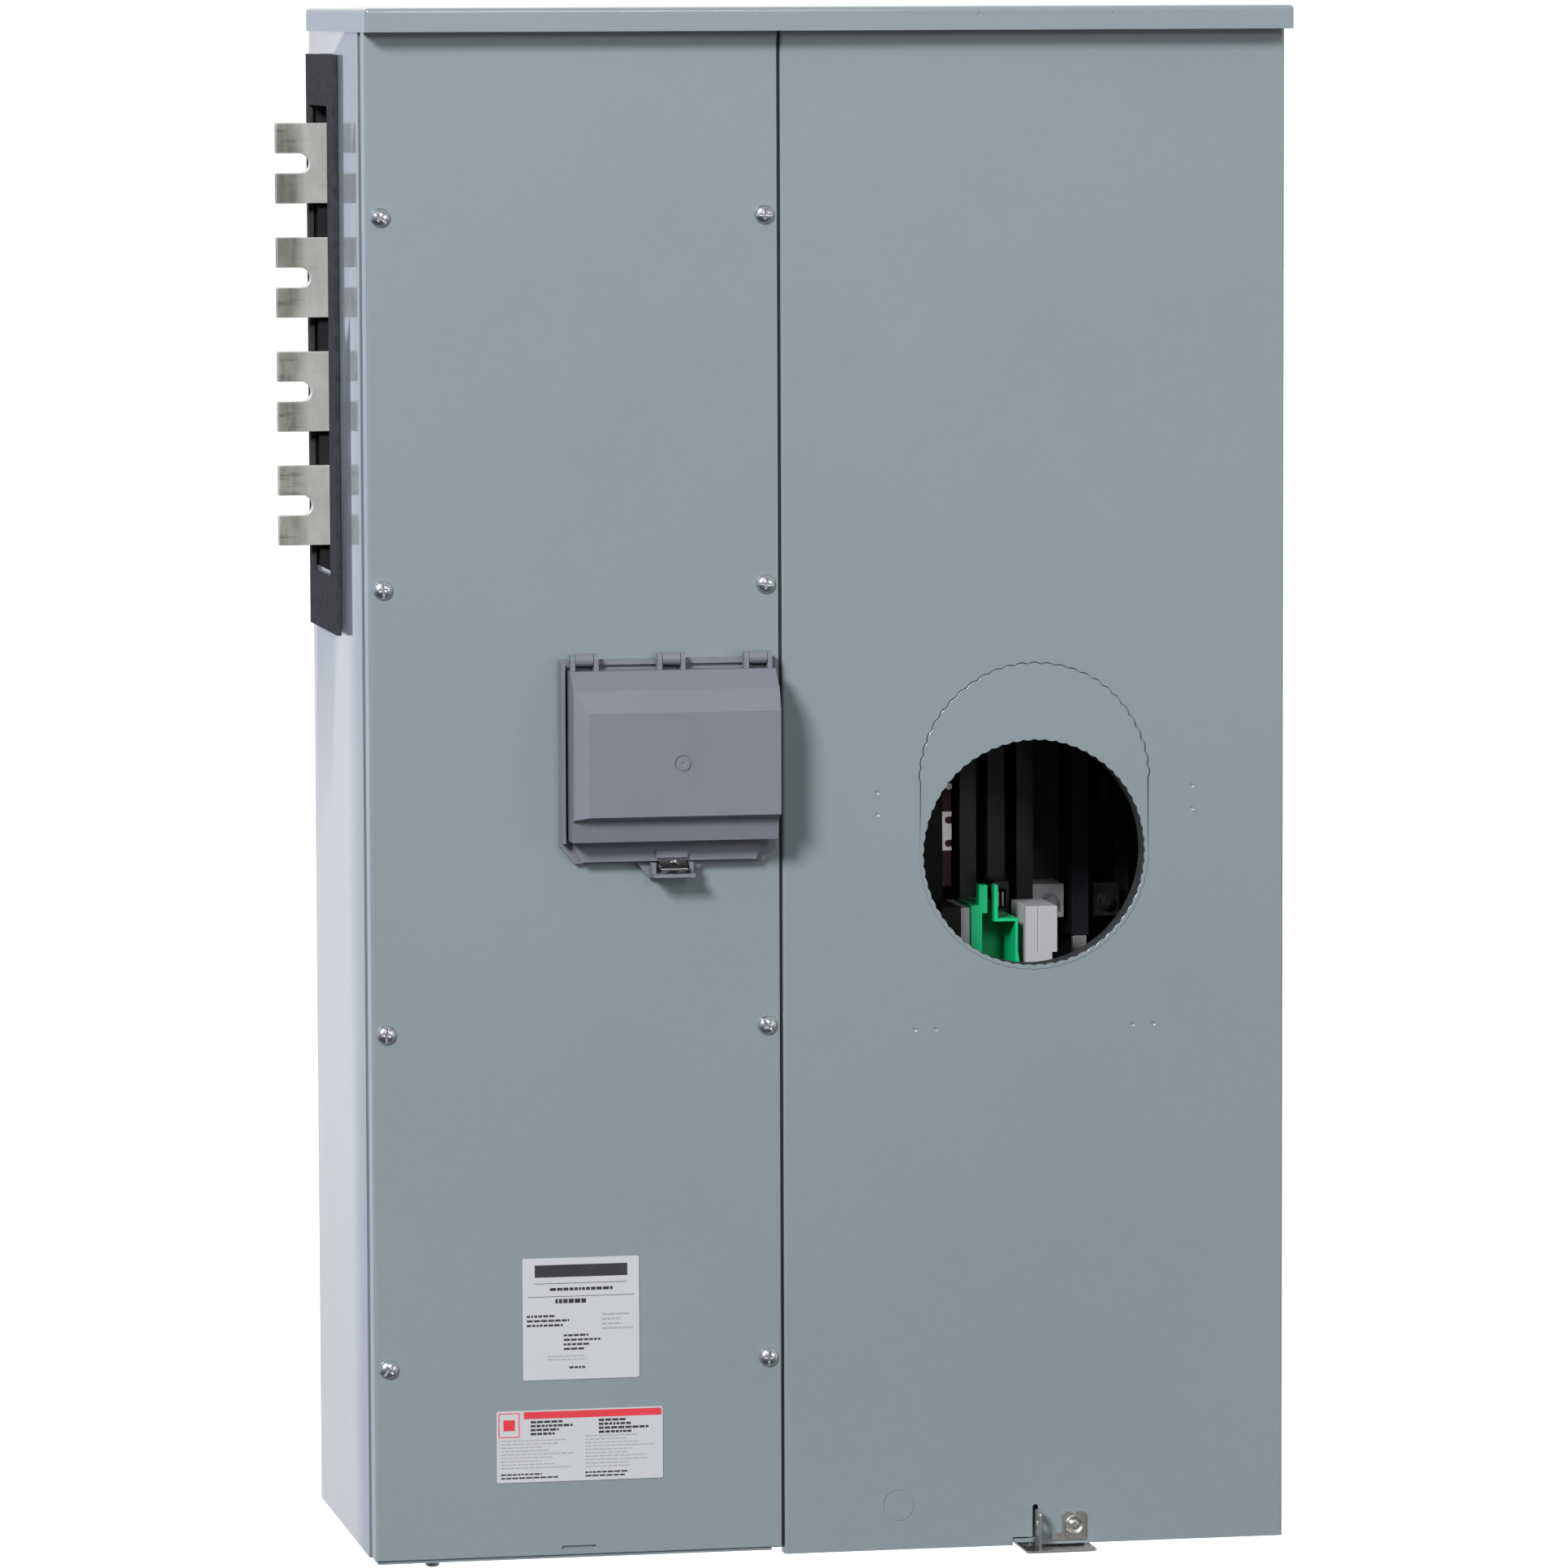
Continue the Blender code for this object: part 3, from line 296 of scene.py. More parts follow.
RECIPES = {
    "paint": (paint, (0.188, 0.232, 0.246), (0.232, 0.278, 0.290), (0.13, 0.17, 0.18)),
    "paint_cap": (paint, (0.190, 0.236, 0.252), (0.235, 0.282, 0.296), (0.13, 0.17, 0.18)),
    "bright_metal": (metal, (0.86, 0.86, 0.80), (0.60, 0.60, 0.54), 0.42, (1.0, 1.0, 0.2), 0.3),
    "steel": (metal, (0.60, 0.59, 0.56), (0.30, 0.29, 0.27), 0.30, (1.0, 1.0, 0.08)),
    "zinc": (metal, (0.72, 0.74, 0.78), (0.40, 0.42, 0.46), 0.24, (1.0, 1.0, 1.0), 0.3, 500.0, 0.3),
    "tin": (tin,),
    "foam": (foam,),
    "grey_plastic": (moulded, (0.158, 0.166, 0.192), (0.196, 0.204, 0.232)),
    "black_plastic": (moulded, (0.010, 0.010, 0.012), (0.030, 0.031, 0.035)),
    # Near-black that paints shade: used on the seam strip, the bus pad, the link shield and the terminal
    # block's cover.
    "shade_black": (moulded, (0.003, 0.003, 0.003), (0.008, 0.008, 0.009), 0.7),
    "pad_plate": (moulded, (0.74, 0.74, 0.76), (0.88, 0.88, 0.89), 0.45),
    "sleeve": (moulded, (0.016, 0.017, 0.021), (0.045, 0.047, 0.055), 0.38, 0.15, 0.2),
    "green_plastic": (moulded, (0.0, 0.45, 0.17), (0.0, 0.62, 0.28), 0.45, 0.15),
    "light_plastic": (moulded, (0.40, 0.40, 0.425), (0.51, 0.51, 0.535), 0.5),
    "red_board": (moulded, (0.060, 0.010, 0.012), (0.13, 0.025, 0.025), 0.5),
    "label": (film, (0.48, 0.49, 0.51), (0.46, 0.47, 0.48)),
    "label_ink": (film, (0.025, 0.022, 0.028), (0.07, 0.07, 0.08)),
    "label_line": (film, (0.30, 0.30, 0.32), (0.42, 0.42, 0.44)),
    "label_red": (film, (0.62, 0.035, 0.05), (0.50, 0.06, 0.07)),
}
LOOKS = {name: make(name, *values) for name, (make, *values) in RECIPES.items()}

# ---- shapes

WORK = bpy.data.collections.new("work")
bpy.context.scene.collection.children.link(WORK)


def put(name, mesh):
    obj = bpy.data.objects.new(name, mesh)
    WORK.objects.link(obj)
    return obj


def from_bmesh(name, bm):
    bmesh.ops.recalc_face_normals(bm, faces=bm.faces)
    mesh = bpy.data.meshes.new(name)
    bm.to_mesh(mesh)
    bm.free()
    return put(name, mesh)


def block(x, y, z):
    low, high = world(x[0], y[0], z[0]), world(x[1], y[1], z[1])
    bm = bmesh.new()
    bmesh.ops.create_cube(bm, size=1.0)
    bmesh.ops.scale(bm, vec=high - low, verts=bm.verts)
    bmesh.ops.translate(bm, vec=(low + high) / 2, verts=bm.verts)
    return bm


def box(name, x, y, z):
    return from_bmesh(name, block(x, y, z))


AXIS_TURN = {
    "x": Matrix.Rotation(math.radians(90), 4, "Y"),
    "y": Matrix.Rotation(math.radians(-90), 4, "X"),
    "z": Matrix.Identity(4),
}


def cylinder(name, axis, centre, radius, length, sides):
    bm = bmesh.new()
    bmesh.ops.create_cone(bm, cap_ends=True, segments=sides, radius1=radius * MM,
                          radius2=radius * MM, depth=length * MM,
                          matrix=Matrix.Translation(world(*centre)) @ AXIS_TURN[axis])
    return from_bmesh(name, bm)


def ball(name, centre, radius):
    bm = bmesh.new()
    bmesh.ops.create_uvsphere(bm, u_segments=20, v_segments=12, radius=radius * MM,
                              matrix=Matrix.Translation(world(*centre)))
    return from_bmesh(name, bm)


def arc(centre, radius, start, end, steps):
    angles = [math.radians(start + (end - start) * i / steps) for i in range(steps + 1)]
    return [(centre[0] + radius * math.cos(a), centre[1] + radius * math.sin(a)) for a in angles]


def point_on(axis, a, b, level):
    return {"x": world(level, a, b), "y": world(a, level, b), "z": world(a, b, level)}[axis]


def plate(name, axis, outline, span):
    """An outline extruded along an axis: (y, z) points along x, (x, z) along y, (x, y) along z."""
    bm = bmesh.new()
    near = [bm.verts.new(point_on(axis, a, b, span[0])) for a, b in outline]
    far = [bm.verts.new(point_on(axis, a, b, span[1])) for a, b in outline]
    bm.faces.new(near)
    bm.faces.new(list(reversed(far)))
    count = len(outline)
    for i in range(count):
        j = (i + 1) % count
        bm.faces.new((near[i], far[i], far[j], near[j]))
    return from_bmesh(name, bm)


def bent_path(corners, radius, steps=7):
    """A path through the corners, with each inner corner rounded."""
    path = [Vector(corners[0])]
    for before, here, after in zip(corners, corners[1:], corners[2:]):
        here = Vector(here)
        back = (Vector(before) - here).normalized()
        ahead = (Vector(after) - here).normalized()
        half = back.angle(ahead) / 2
        reach = radius / math.tan(half)
        centre = here + (back + ahead).normalized() * radius / math.sin(half)
        start = here + back * reach - centre
        end = here + ahead * reach - centre
        for i in range(steps + 1):
            path.append(centre + start.slerp(end, i / steps).normalized() * radius)
    path.append(Vector(corners[-1]))
    return path


def folded_sheet(name, path, z):
    """Sheet whose outer face follows an (x, y) path, with the metal on the side away from -Y."""
    inner = []
    for i, p in enumerate(path):
        ahead = (path[min(i + 1, len(path) - 1)] - p) if i + 1 < len(path) else Vector((0, 0))
        back = (p - path[i - 1]) if i else Vector((0, 0))
        side = Vector((0.0, 0.0))
        for step in (back, ahead):
            if step.length > 1e-6:
                step = step.normalized()
                side += Vector((-step.y, step.x))
        side.normalize()
        reach = SHEET
        if back.length > 1e-6 and ahead.length > 1e-6:
            reach = SHEET / max(0.3, math.cos(back.angle(ahead) / 2))
        inner.append(p + side * reach)
    outline = [(p.x, p.y) for p in path] + [(p.x, p.y) for p in reversed(inner)]
    return plate(name, "z", outline, z)


def turned(name, centre, profile, steps):
    """A profile of (radius, y) points turned about the front-to-back axis through `centre`."""
    bm = bmesh.new()
    rings = []
    for radius, depth in profile:
        if radius < 1e-6:
            rings.append([bm.verts.new((0.0, depth * MM, 0.0))])
            continue
        rings.append([
            bm.verts.new((radius * MM * math.cos(2 * math.pi * i / steps), depth * MM,
                          radius * MM * math.sin(2 * math.pi * i / steps)))
            for i in range(steps)
        ])
    for a, b in zip(rings, rings[1:]):
        for i in range(steps):
            j = (i + 1) % steps
            corners = [a[i % len(a)], a[j % len(a)], b[j % len(b)], b[i % len(b)]]
            corners = [v for k, v in enumerate(corners) if v not in corners[:k]]
            if len(corners) > 2:
                bm.faces.new(corners)
    bmesh.ops.translate(bm, vec=world(*centre), verts=bm.verts)
    return from_bmesh(name, bm)


def cut(obj, *tools):
    for tool in tools:
        step = obj.modifiers.new(tool.name, "BOOLEAN")
        step.operation = "DIFFERENCE"
        step.object = tool
    return obj


def join(obj, *tools):
    for tool in tools:
        step = obj.modifiers.new(tool.name, "BOOLEAN")
        step.operation = "UNION"
        step.object = tool
    return obj


def settled(obj):
    """The object with its modifiers applied."""
    bpy.context.view_layer.update()
    graph = bpy.context.evaluated_depsgraph_get()
    mesh = bpy.data.meshes.new_from_object(obj.evaluated_get(graph))
    obj.modifiers.clear()
    obj.data = mesh
    return obj


def soften(obj, width, segments=2, angle=35.0):
    """Rounds the sharp edges and shades the piece smoothly between them."""
    mesh = obj.data
    mesh.shade_smooth()
    weld = obj.modifiers.new("weld", "WELD")
    weld.merge_threshold = 0.000002
    if width:
        edge = obj.modifiers.new("edges", "BEVEL")
        edge.width = width * MM
        edge.segments = segments
        edge.limit_method = "ANGLE"
        edge.angle_limit = math.radians(angle)
        edge.use_clamp_overlap = True
        edge.miter_outer = "MITER_ARC"
    normals = obj.modifiers.new("normals", "WEIGHTED_NORMAL")
    normals.keep_sharp = True
    return obj


def ready(obj, look, body, slot, *nodes, width=0.3, segments=2, angle=35.0):
    """The finished piece: modifiers applied, edges softened, material on, riding on its body."""
    piece = settled(obj)
    mesh = piece.data
    if not mesh.materials or mesh.materials[0] is None:
        mesh.materials.clear()
        mesh.materials.append(LOOKS[look])
    mesh.shade_smooth()
    mesh.set_sharp_from_angle(angle=math.radians(angle))
    if width:
        soften(piece, width, segments, angle)
    else:
        normals = piece.modifiers.new("normals", "WEIGHTED_NORMAL")
        normals.keep_sharp = True
    WORK.objects.unlink(piece)
    bpy.context.scene.collection.objects.link(piece)
    if nodes:
        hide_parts(*nodes)
        piece.name = "look_" + nodes[0] if piece.name in frame["nodes"] else piece.name
    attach(piece, body)
    return piece


def nibbled(centre, radius, start, end, depth, pitch):
    """An arc punched out bite by bite, so that its edge is a row of shallow scallops.

    The scallops stay inside the radius, or outside it where depth is negative.
    """
    length = math.radians(abs(end - start)) * radius
    bites = max(3, round(length / pitch))
    steps = bites * 6
    points = []
    for i in range(steps + 1):
        share = i / steps
        angle = math.radians(start + (end - start) * share)
        wave = abs(math.sin(math.pi * bites * share))
        reach = radius - depth * (1.0 - wave) + 0.12 * depth * math.sin(7.0 * angle + 1.0)
        points.append((centre[0] + reach * math.cos(angle), centre[1] + reach * math.sin(angle)))
    return points


def obround(top_gap, low_gap):
    """The insert's outline, grown by top_gap round the upper arc and by low_gap round the lower one."""
    top_depth, low_depth, pitch = 1.3, 0.5, 10.0
    top = nibbled((METER_X, INSERT_TOP_ARC), INSERT_RADIUS + top_gap, 0, 180, top_depth, pitch)
    return top + nibbled((METER_X, METER_Z), INSERT_RADIUS + low_gap, 180, 360, low_depth, pitch)


# ---- sheet metal

def ring_profile(inner, outer, start, end):
    """The closed profile of a square-edged ring, for turned()."""
    return [(inner, start), (inner, end), (outer, end), (outer, start), (inner, start)]


def make_left_cover():
    window_x, window_z = (149.0, 285.0), (526.0, 642.0)
    slot_x, slot_z, slot_half = (137.4, 160.3), 7.95, 1.35
    path = bent_path([(0.0, FLANGE_DEPTH), (0.0, 0.0), (SEAM - SEAM_HALF, 0.0)], BEND)
    cover = folded_sheet("left_cover_sheet", path, (LEFT_COVER_BOTTOM, COVER_TOP))
    slot = arc((slot_x[0], slot_z), slot_half, 90, 270, 8)
    slot += arc((slot_x[1], slot_z), slot_half, -90, 90, 8)
    cut(cover, box("breaker_window", window_x, THROUGH, window_z), plate("bottom_slot", "y", slot, THROUGH))
    for x in SCREW_X:
        for z in SCREW_Z:
            cut(cover, cylinder("cover_hole", "y", (x, 0.0, z), SCREW_HOLE, DRILL, 24))
    ready(cover, "paint", "enclosure", "paint", "left_cover", width=0.22)


def make_seam_strip():
    """Painted shade for the gap between the two covers: a near-black strip just behind their front faces."""
    half, depth, top_margin = 1.1, (0.9, 1.4), 12.0
    strip = box("seam_strip", (SEAM - half, SEAM + half), depth,
                (LEFT_COVER_BOTTOM + 1.0, COVER_TOP - top_margin))
    ready(strip, "shade_black", "enclosure", "foam", width=0.0)


def make_meter_cover():
    seam_flange, below = 12.0, METER_COVER_BOTTOM - 1.0
    window_gap_top, window_gap_low = 0.95, 0.12
    notch_x, notch_top = (471.5, 486.5), SHEET + 1.4
    slot_half, slot_top = 2.2, 24.8
    left = SEAM + SEAM_HALF
    path = bent_path([(left, seam_flange), (left, 0.0), (WIDTH, 0.0), (WIDTH, FLANGE_DEPTH)], BEND)
    cover = folded_sheet("meter_cover_sheet", path, (METER_COVER_BOTTOM, COVER_TOP))
    slot = [(STAPLE_X - slot_half, below), (STAPLE_X + slot_half, below)]
    slot += arc((STAPLE_X, slot_top), slot_half, 0, 180, 10)
    cut(
        cover,
        plate("insert_window", "y", obround(window_gap_top, window_gap_low), THROUGH),
        box("tongue_notch", notch_x, THROUGH, (below, notch_top)),
        plate("staple_slot", "y", slot, THROUGH),
        cylinder("seal_hole", "y", (SEAL_X, 0.0, SEAL_Z), SCREW_HOLE, DRILL, 24),
    )
    welds = [(371.3, 553.6), (371.3, 537.6), (605.8, 554.0), (605.8, 537.3), (398.7, 379.8), (414.4, 379.8),
             (561.3, 379.7), (577.1, 379.7)]
    weld_lift, weld_radius = 2.3, 2.95
    for x, z in welds:
        cut(cover, ball("weld_mark", (x, -weld_lift, z), weld_radius))
    knock_out_x, knock_out_z, knock_out_radius = 386.0, 29.8, 11.15
    groove_width, groove_depth = 0.5, 0.45
    groove = ring_profile(knock_out_radius, knock_out_radius + groove_width, groove_depth, -1.0)
    cut(cover, turned("knock_out_rim", (knock_out_x, 0.0, knock_out_z), groove, 48))
    ready(cover, "paint", "tilting_cover", "paint", "meter_cover", width=0.2)


def make_meter_insert():
    """The obround sheet with the scalloped meter opening."""
    edge_gap, scallop, pitch = 0.25, -1.0, 8.0
    insert = plate("meter_insert_sheet", "y", obround(0.0, 0.0), (0.0, SHEET))
    edge = nibbled((METER_X, METER_Z), METER_HOLE + edge_gap, 0, 360, scallop, pitch)
    cut(insert, plate("meter_hole", "y", edge[:-1], THROUGH))
    ready(insert, "paint", "tilting_cover", "paint", "meter_insert", width=0.3)


def make_meter_foam():
    hole_gap, ring_width, thickness = 0.5, 16.0, 16.0
    near = 2 * (SHEET + GAP)
    ring = ring_profile(METER_HOLE + hole_gap, METER_HOLE + ring_width, near, near + thickness)
    foam_ring = turned("meter_foam", (METER_X, 0.0, METER_Z), ring, 96)
    ready(foam_ring, "foam", "tilting_cover", "foam", "meter_foam_ring", width=0.5)


def make_rain_cap():
    """One bent sheet: the top with a lip in front and at both sides, open behind and below."""
    side_lip, front_lip, drop, bend_radius, sheet = 2.0, 20.0, 17.0, 3.0, 1.3
    marks_x, marks_z, mark_lift, mark_radius = (443.9, 542.1), 1116.2, 22.0, 2.5
    bm = block((-side_lip, WIDTH + side_lip), (-front_lip, DEPTH), (HEIGHT - drop, HEIGHT))
    bm.normal_update()
    gone = [face for face in bm.faces if face.normal.z < -0.5 or face.normal.y > 0.5]
    bmesh.ops.delete(bm, geom=gone, context="FACES")
    mesh = bpy.data.meshes.new("cap")
    bm.to_mesh(mesh)
    bm.free()
    cap = put("rain_cap_sheet", mesh)
    bend = cap.modifiers.new("bends", "BEVEL")
    bend.width = bend_radius * MM
    bend.segments = 6
    bend.limit_method = "ANGLE"
    shell = cap.modifiers.new("sheet", "SOLIDIFY")
    shell.thickness = sheet * MM
    shell.offset = -1.0
    shell.use_even_offset = True
    settled(cap)
    for x in marks_x:
        cut(cap, ball("cap_mark", (x, -mark_lift, marks_z), mark_radius))
    ready(cap, "paint_cap", "enclosure", "paint", "rain_cap", width=0.2)


# ---- fasteners

def spin_about(centre, angle, axis):
    return Matrix.Translation(centre) @ Matrix.Rotation(angle, 4, axis) @ Matrix.Translation(-centre)


def make_screws():
    """Pan heads with a cross recess and a slot, each turned a little differently."""
    dome = [(0.0, -4.2), (1.6, -4.15), (3.2, -3.95), (4.6, -3.5), (5.7, -2.85), (6.5, -1.95), (6.9, -1.1),
            (7.0, -0.6), (6.95, -0.35), (6.8, -0.3), (2.4, -0.3), (2.4, 13.0), (0.0, 13.0)]
    above, slot_floor, cross_floor = -6.0, -2.6, -1.4
    slot_long, slot_wide, cross_long, cross_wide = 6.2, 0.75, 3.5, 0.9
    recesses = [("slot", slot_long, slot_wide, slot_floor), ("cross_a", cross_long, cross_wide, cross_floor),
                ("cross_b", cross_wide, cross_long, cross_floor)]
    number = 1
    for x in SCREW_X:
        for z in SCREW_Z:
            screw = turned(f"pan_screw_{number}", (x, 0.0, z), dome, 48)
            turn = math.radians(31.0 * number + 12.0 * (number % 3))
            for name, across, up, floor_y in recesses:
                tool = box(name, (x - across, x + across), (above, floor_y), (z - up, z + up))
                tool.data.transform(spin_about(world(x, 0.0, z), turn, "Y"))
                cut(screw, tool)
            ready(screw, "zinc", "enclosure", "zinc", f"cover_screw_{number}", width=0.12, angle=40.0)
            number += 1


def make_bottom_screw():
    """The slotted screw that points up into the bottom flange of the left cover."""
    x, y = 43.0, 12.0
    half_long, half_wide, slot_z = 5.0, 0.6, (-6.0, -3.3)
    head = [(0.0, 4.4), (2.4, 4.3), (4.0, 3.9), (5.1, 2.9), (5.4, 1.6), (5.4, 0.3), (0.0, 0.3)]
    screw = turned("pan_screw_bottom", (x, y, 0.0), [(radius, -height) for radius, height in head], 36)
    screw.data.transform(spin_about(world(x, y, 0.0), math.radians(90), "X"))
    cut(screw, box("bottom_slot_tool", (x - half_long, x + half_long), (y - half_wide, y + half_wide),
                   slot_z))
    ready(screw, "zinc", "enclosure", "zinc", "bottom_screw", width=0.12)


def make_staple():
    """The padlock staple on the enclosure, under the meter cover's bottom edge."""
    base_x, base_y, base_z = (478.0, 531.0), (-19.0, 30.0), (-6.2, -4.6)
    seat_x, seat_y, seat_z = (480.0, 529.0), (16.0, 29.0), (-5.0, -GAP)
    tab_x, tab_foot, tab_top, tab_corner = (487.5, 489.1), -5.5, 20.0, 4.5
    hole_y, hole_z, hole_radius, corner_cut = -10.0, 16.0, 3.2, 3.0
    staple = box("staple_base", base_x, base_y, base_z)
    tab = [(-18.0, tab_foot), (-1.5, tab_foot), (-1.5, tab_top)]
    tab += arc((-6.0, tab_top), tab_corner, 0, 90, 6) + arc((-13.5, tab_top + 0.5), tab_corner, 90, 180, 6)
    join(staple, plate("staple_tab", "x", tab, tab_x), box("staple_seat", seat_x, seat_y, seat_z))
    cut(staple, cylinder("staple_hole", "x", (488.0, hole_y, hole_z), hole_radius, 20.0, 32))
    for name, x in zip(("corner_a", "corner_b"), base_x):
        cut(staple, cylinder(name, "z", (x, base_y[0], -5.0), corner_cut, 8.0, 4))
    ready(staple, "steel", "enclosure", "steel", "meter_cover_staple", width=0.3)


def make_seal():
    """The seal bracket's upright ear and its dished screw, which tilt with the meter cover."""
    ear_y, foot_x, foot_y, foot_z = (-2.3, -0.7), (500.2, 510.0), (-2.2, -0.8), (0.6, 5.6)
    ear_outline = [(508.3, 0.5), (525.9, 0.5), (525.9, 19.0), (524.0, 20.9), (518.6, 20.9), (517.8, 19.4),
                   (516.2, 19.4), (515.4, 20.9), (510.2, 20.9), (508.3, 19.0)]
    ear = plate("seal_ear", "y", ear_outline, ear_y)
    join(ear, box("seal_ear_foot", foot_x, foot_y, foot_z))
    cut(ear, cylinder("ear_hole", "y", (SEAL_X, 0.0, SEAL_Z), SCREW_HOLE, 20.0, 32))
    ready(ear, "steel", "tilting_cover", "steel", "seal_bracket", width=0.3)

    cross_long, cross_wide, cross_y, wire_y, wire_radius = 2.4, 0.5, (-6.0, -4.3), -4.3, 0.55
    dish = [(0.0, -4.6), (1.2, -4.6), (1.2, -5.2), (2.9, -5.2), (3.3, -4.9), (3.4, -3.7), (4.4, -3.7),
            (5.8, -4.7), (6.3, -4.7), (6.6, -4.2), (6.6, -2.6), (2.4, -2.6), (2.4, 9.0), (0.0, 9.0)]
    screw = turned("seal_screw_head", (SEAL_X, 0.0, SEAL_Z), dish, 48)
    cut(screw, box("seal_cross", (SEAL_X - cross_long, SEAL_X + cross_long), cross_y,
                   (SEAL_Z - cross_wide, SEAL_Z + cross_wide)),
        cylinder("wire_hole", "x", (SEAL_X, wire_y, SEAL_Z), wire_radius, 20.0, 12))
    ready(screw, "steel", "tilting_cover", "steel", "seal_screw", width=0.15, angle=40.0)


# ---- cross bus

def bar_z(index):
    return BAR_TOP_Z - index * BAR_PITCH


def make_bus():
    right_end = WIDTH - 14.0
    half = BAR_SLOT / 2
    hole_inset, hole_offsets, hole_radius = 20.0, (-15.0, 15.0), 5.5
    for i in range(4):
        z = bar_z(i)
        bar = box(f"bus_bar_plate_{i + 1}", (BAR_END, right_end), (BAR_Y, BAR_Y + BAR_THICKNESS),
                  (z - BAR_HEIGHT / 2, z + BAR_HEIGHT / 2))
        slot = [(BAR_END - 10.0, z + half), (BAR_END - 10.0, z - half)]
        slot += arc((BAR_SLOT_END - half, z), half, -90, 90, 28)
        cut(bar, plate(f"bar_slot_{i + 1}", "y", slot, (BAR_Y - 5.0, BAR_Y + 15.0)))
        for side in hole_offsets:
            centre = (right_end - hole_inset, BAR_Y, z + side)
            cut(bar, cylinder("bar_hole", "y", centre, hole_radius, 20.0, 32))
        ready(bar, "tin", "enclosure", "tin", f"bus_bar_{i + 1}", width=0.55, segments=3)


def make_gasket():
    outer_face, past = -3.9, (-10.0, 10.0)
    gasket = box("bus_gasket_foam", (outer_face, -GAP), FOAM_Y, FOAM_Z)
    cut(gasket, box("gasket_window", past, FOAM_OPENING_Y, FOAM_OPENING_Z))
    ready(gasket, "foam", "enclosure", "foam", "bus_gasket", width=0.35)


# ---- breaker flap

def flap_section(inset):
    """The flap's side outline, front faces and edges moved inwards by the wall's inset."""
    i = inset
    return [
        (FLAP_BACK + i, FLAP_TOP - i),
        (-24.0 + i * 0.6, FLAP_TOP - i),
        (-40.0 + i, 634.5 - i * 0.4),
        (FLAP_FRONT + i, 618.8 - i * 0.3),
        (FLAP_FRONT + i, 544.0 + i * 0.6),
        (-35.0 + i, 540.0 + i * 0.6),
        (-31.5 + i, FLAP_BOTTOM + i),
        (FLAP_BACK + i, FLAP_BOTTOM + i),
    ]


def make_flap():
    x0, x1 = FLAP_X
    flap = plate("flap_shell", "x", flap_section(0.0), (x0, x1))
    chamfer = [(x0 - 2.0, -39.0), (x0 - 0.01, -40.0), (152.2, FLAP_FRONT), (153.0, -50.0), (x0 - 2.0, -50.0)]
    inner = plate("flap_hollow", "x", flap_section(FLAP_WALL), (x0 + FLAP_WALL, x1 - FLAP_WALL))
    inner_edge = [(x + 2.0, y + 2.4) for x, y in chamfer]
    cut(inner, plate("flap_hollow_chamfer", "z", inner_edge, (520.0, 660.0)))
    cut(flap, plate("flap_chamfer", "z", chamfer, (500.0, 700.0)), inner)
    lip, lip_y = [(144.0, 526.0), (151.5, 509.0), (279.5, 509.0), (285.0, 526.0)], (-12.0, -9.4)
    join(flap, plate("flap_lip", "y", lip, lip_y))
    join(flap, box("lip_rib", (205.8, 228.8), (-14.8, -11.0), (511.4, 517.0)))
    ear_radius, ear_foot = 4.7, 646.0
    for i, x in enumerate(KNUCKLES):
        for side in (-1, 1):
            a, b = sorted((x + side * EAR[0], x + side * EAR[1]))
            ear = [(HINGE_Y - ear_radius, ear_foot), (HINGE_Y + 3.4, ear_foot)]
            ear += arc((HINGE_Y, HINGE_Z), ear_radius, 0, 180, 16)
            join(flap, plate(f"ear_{i}_{side}", "x", ear, (a, b)))
            centre = ((a + b) / 2, HINGE_Y, HINGE_Z)
            cut(flap, cylinder(f"ear_hole_{i}_{side}", "x", centre, PIN_HOLE, 6.0, 24))
    gate_x, gate_z = 220.5, 581.9
    ring = ring_profile(5.1, 6.1, FLAP_FRONT + 1.0, FLAP_FRONT - 1.0)
    gate = turned("gate_ring", (gate_x, 0.0, gate_z), ring, 48)
    settled(flap)
    soften(flap, 0.35, 3, 14.0)
    settled(flap)
    cut(flap, gate, ball("gate_dot", (gate_x, FLAP_FRONT - 0.8, gate_z), 1.5))
    ready(flap, "grey_plastic", "flap", "grey_plastic", "breaker_flap", width=0.0, angle=30.0)


def make_hasp():
    """The bent steel tongue on the flap's lip, with the padlock hole."""
    tongue = [(-12.3, 515.0), (-14.1, 515.0), (-14.1, 511.2), (-27.6, 504.4), (-26.8, 502.8), (-12.3, 510.1)]
    hasp = plate("hasp_tongue_plate", "x", tongue, (207.5, 227.0))
    cut(hasp, cylinder("hasp_hole", "z", (PADLOCK_X, PADLOCK_Y, 507.0), PADLOCK_RADIUS, 16.0, 36))
    ready(hasp, "steel", "flap", "steel", "flap_hasp", width=0.35)


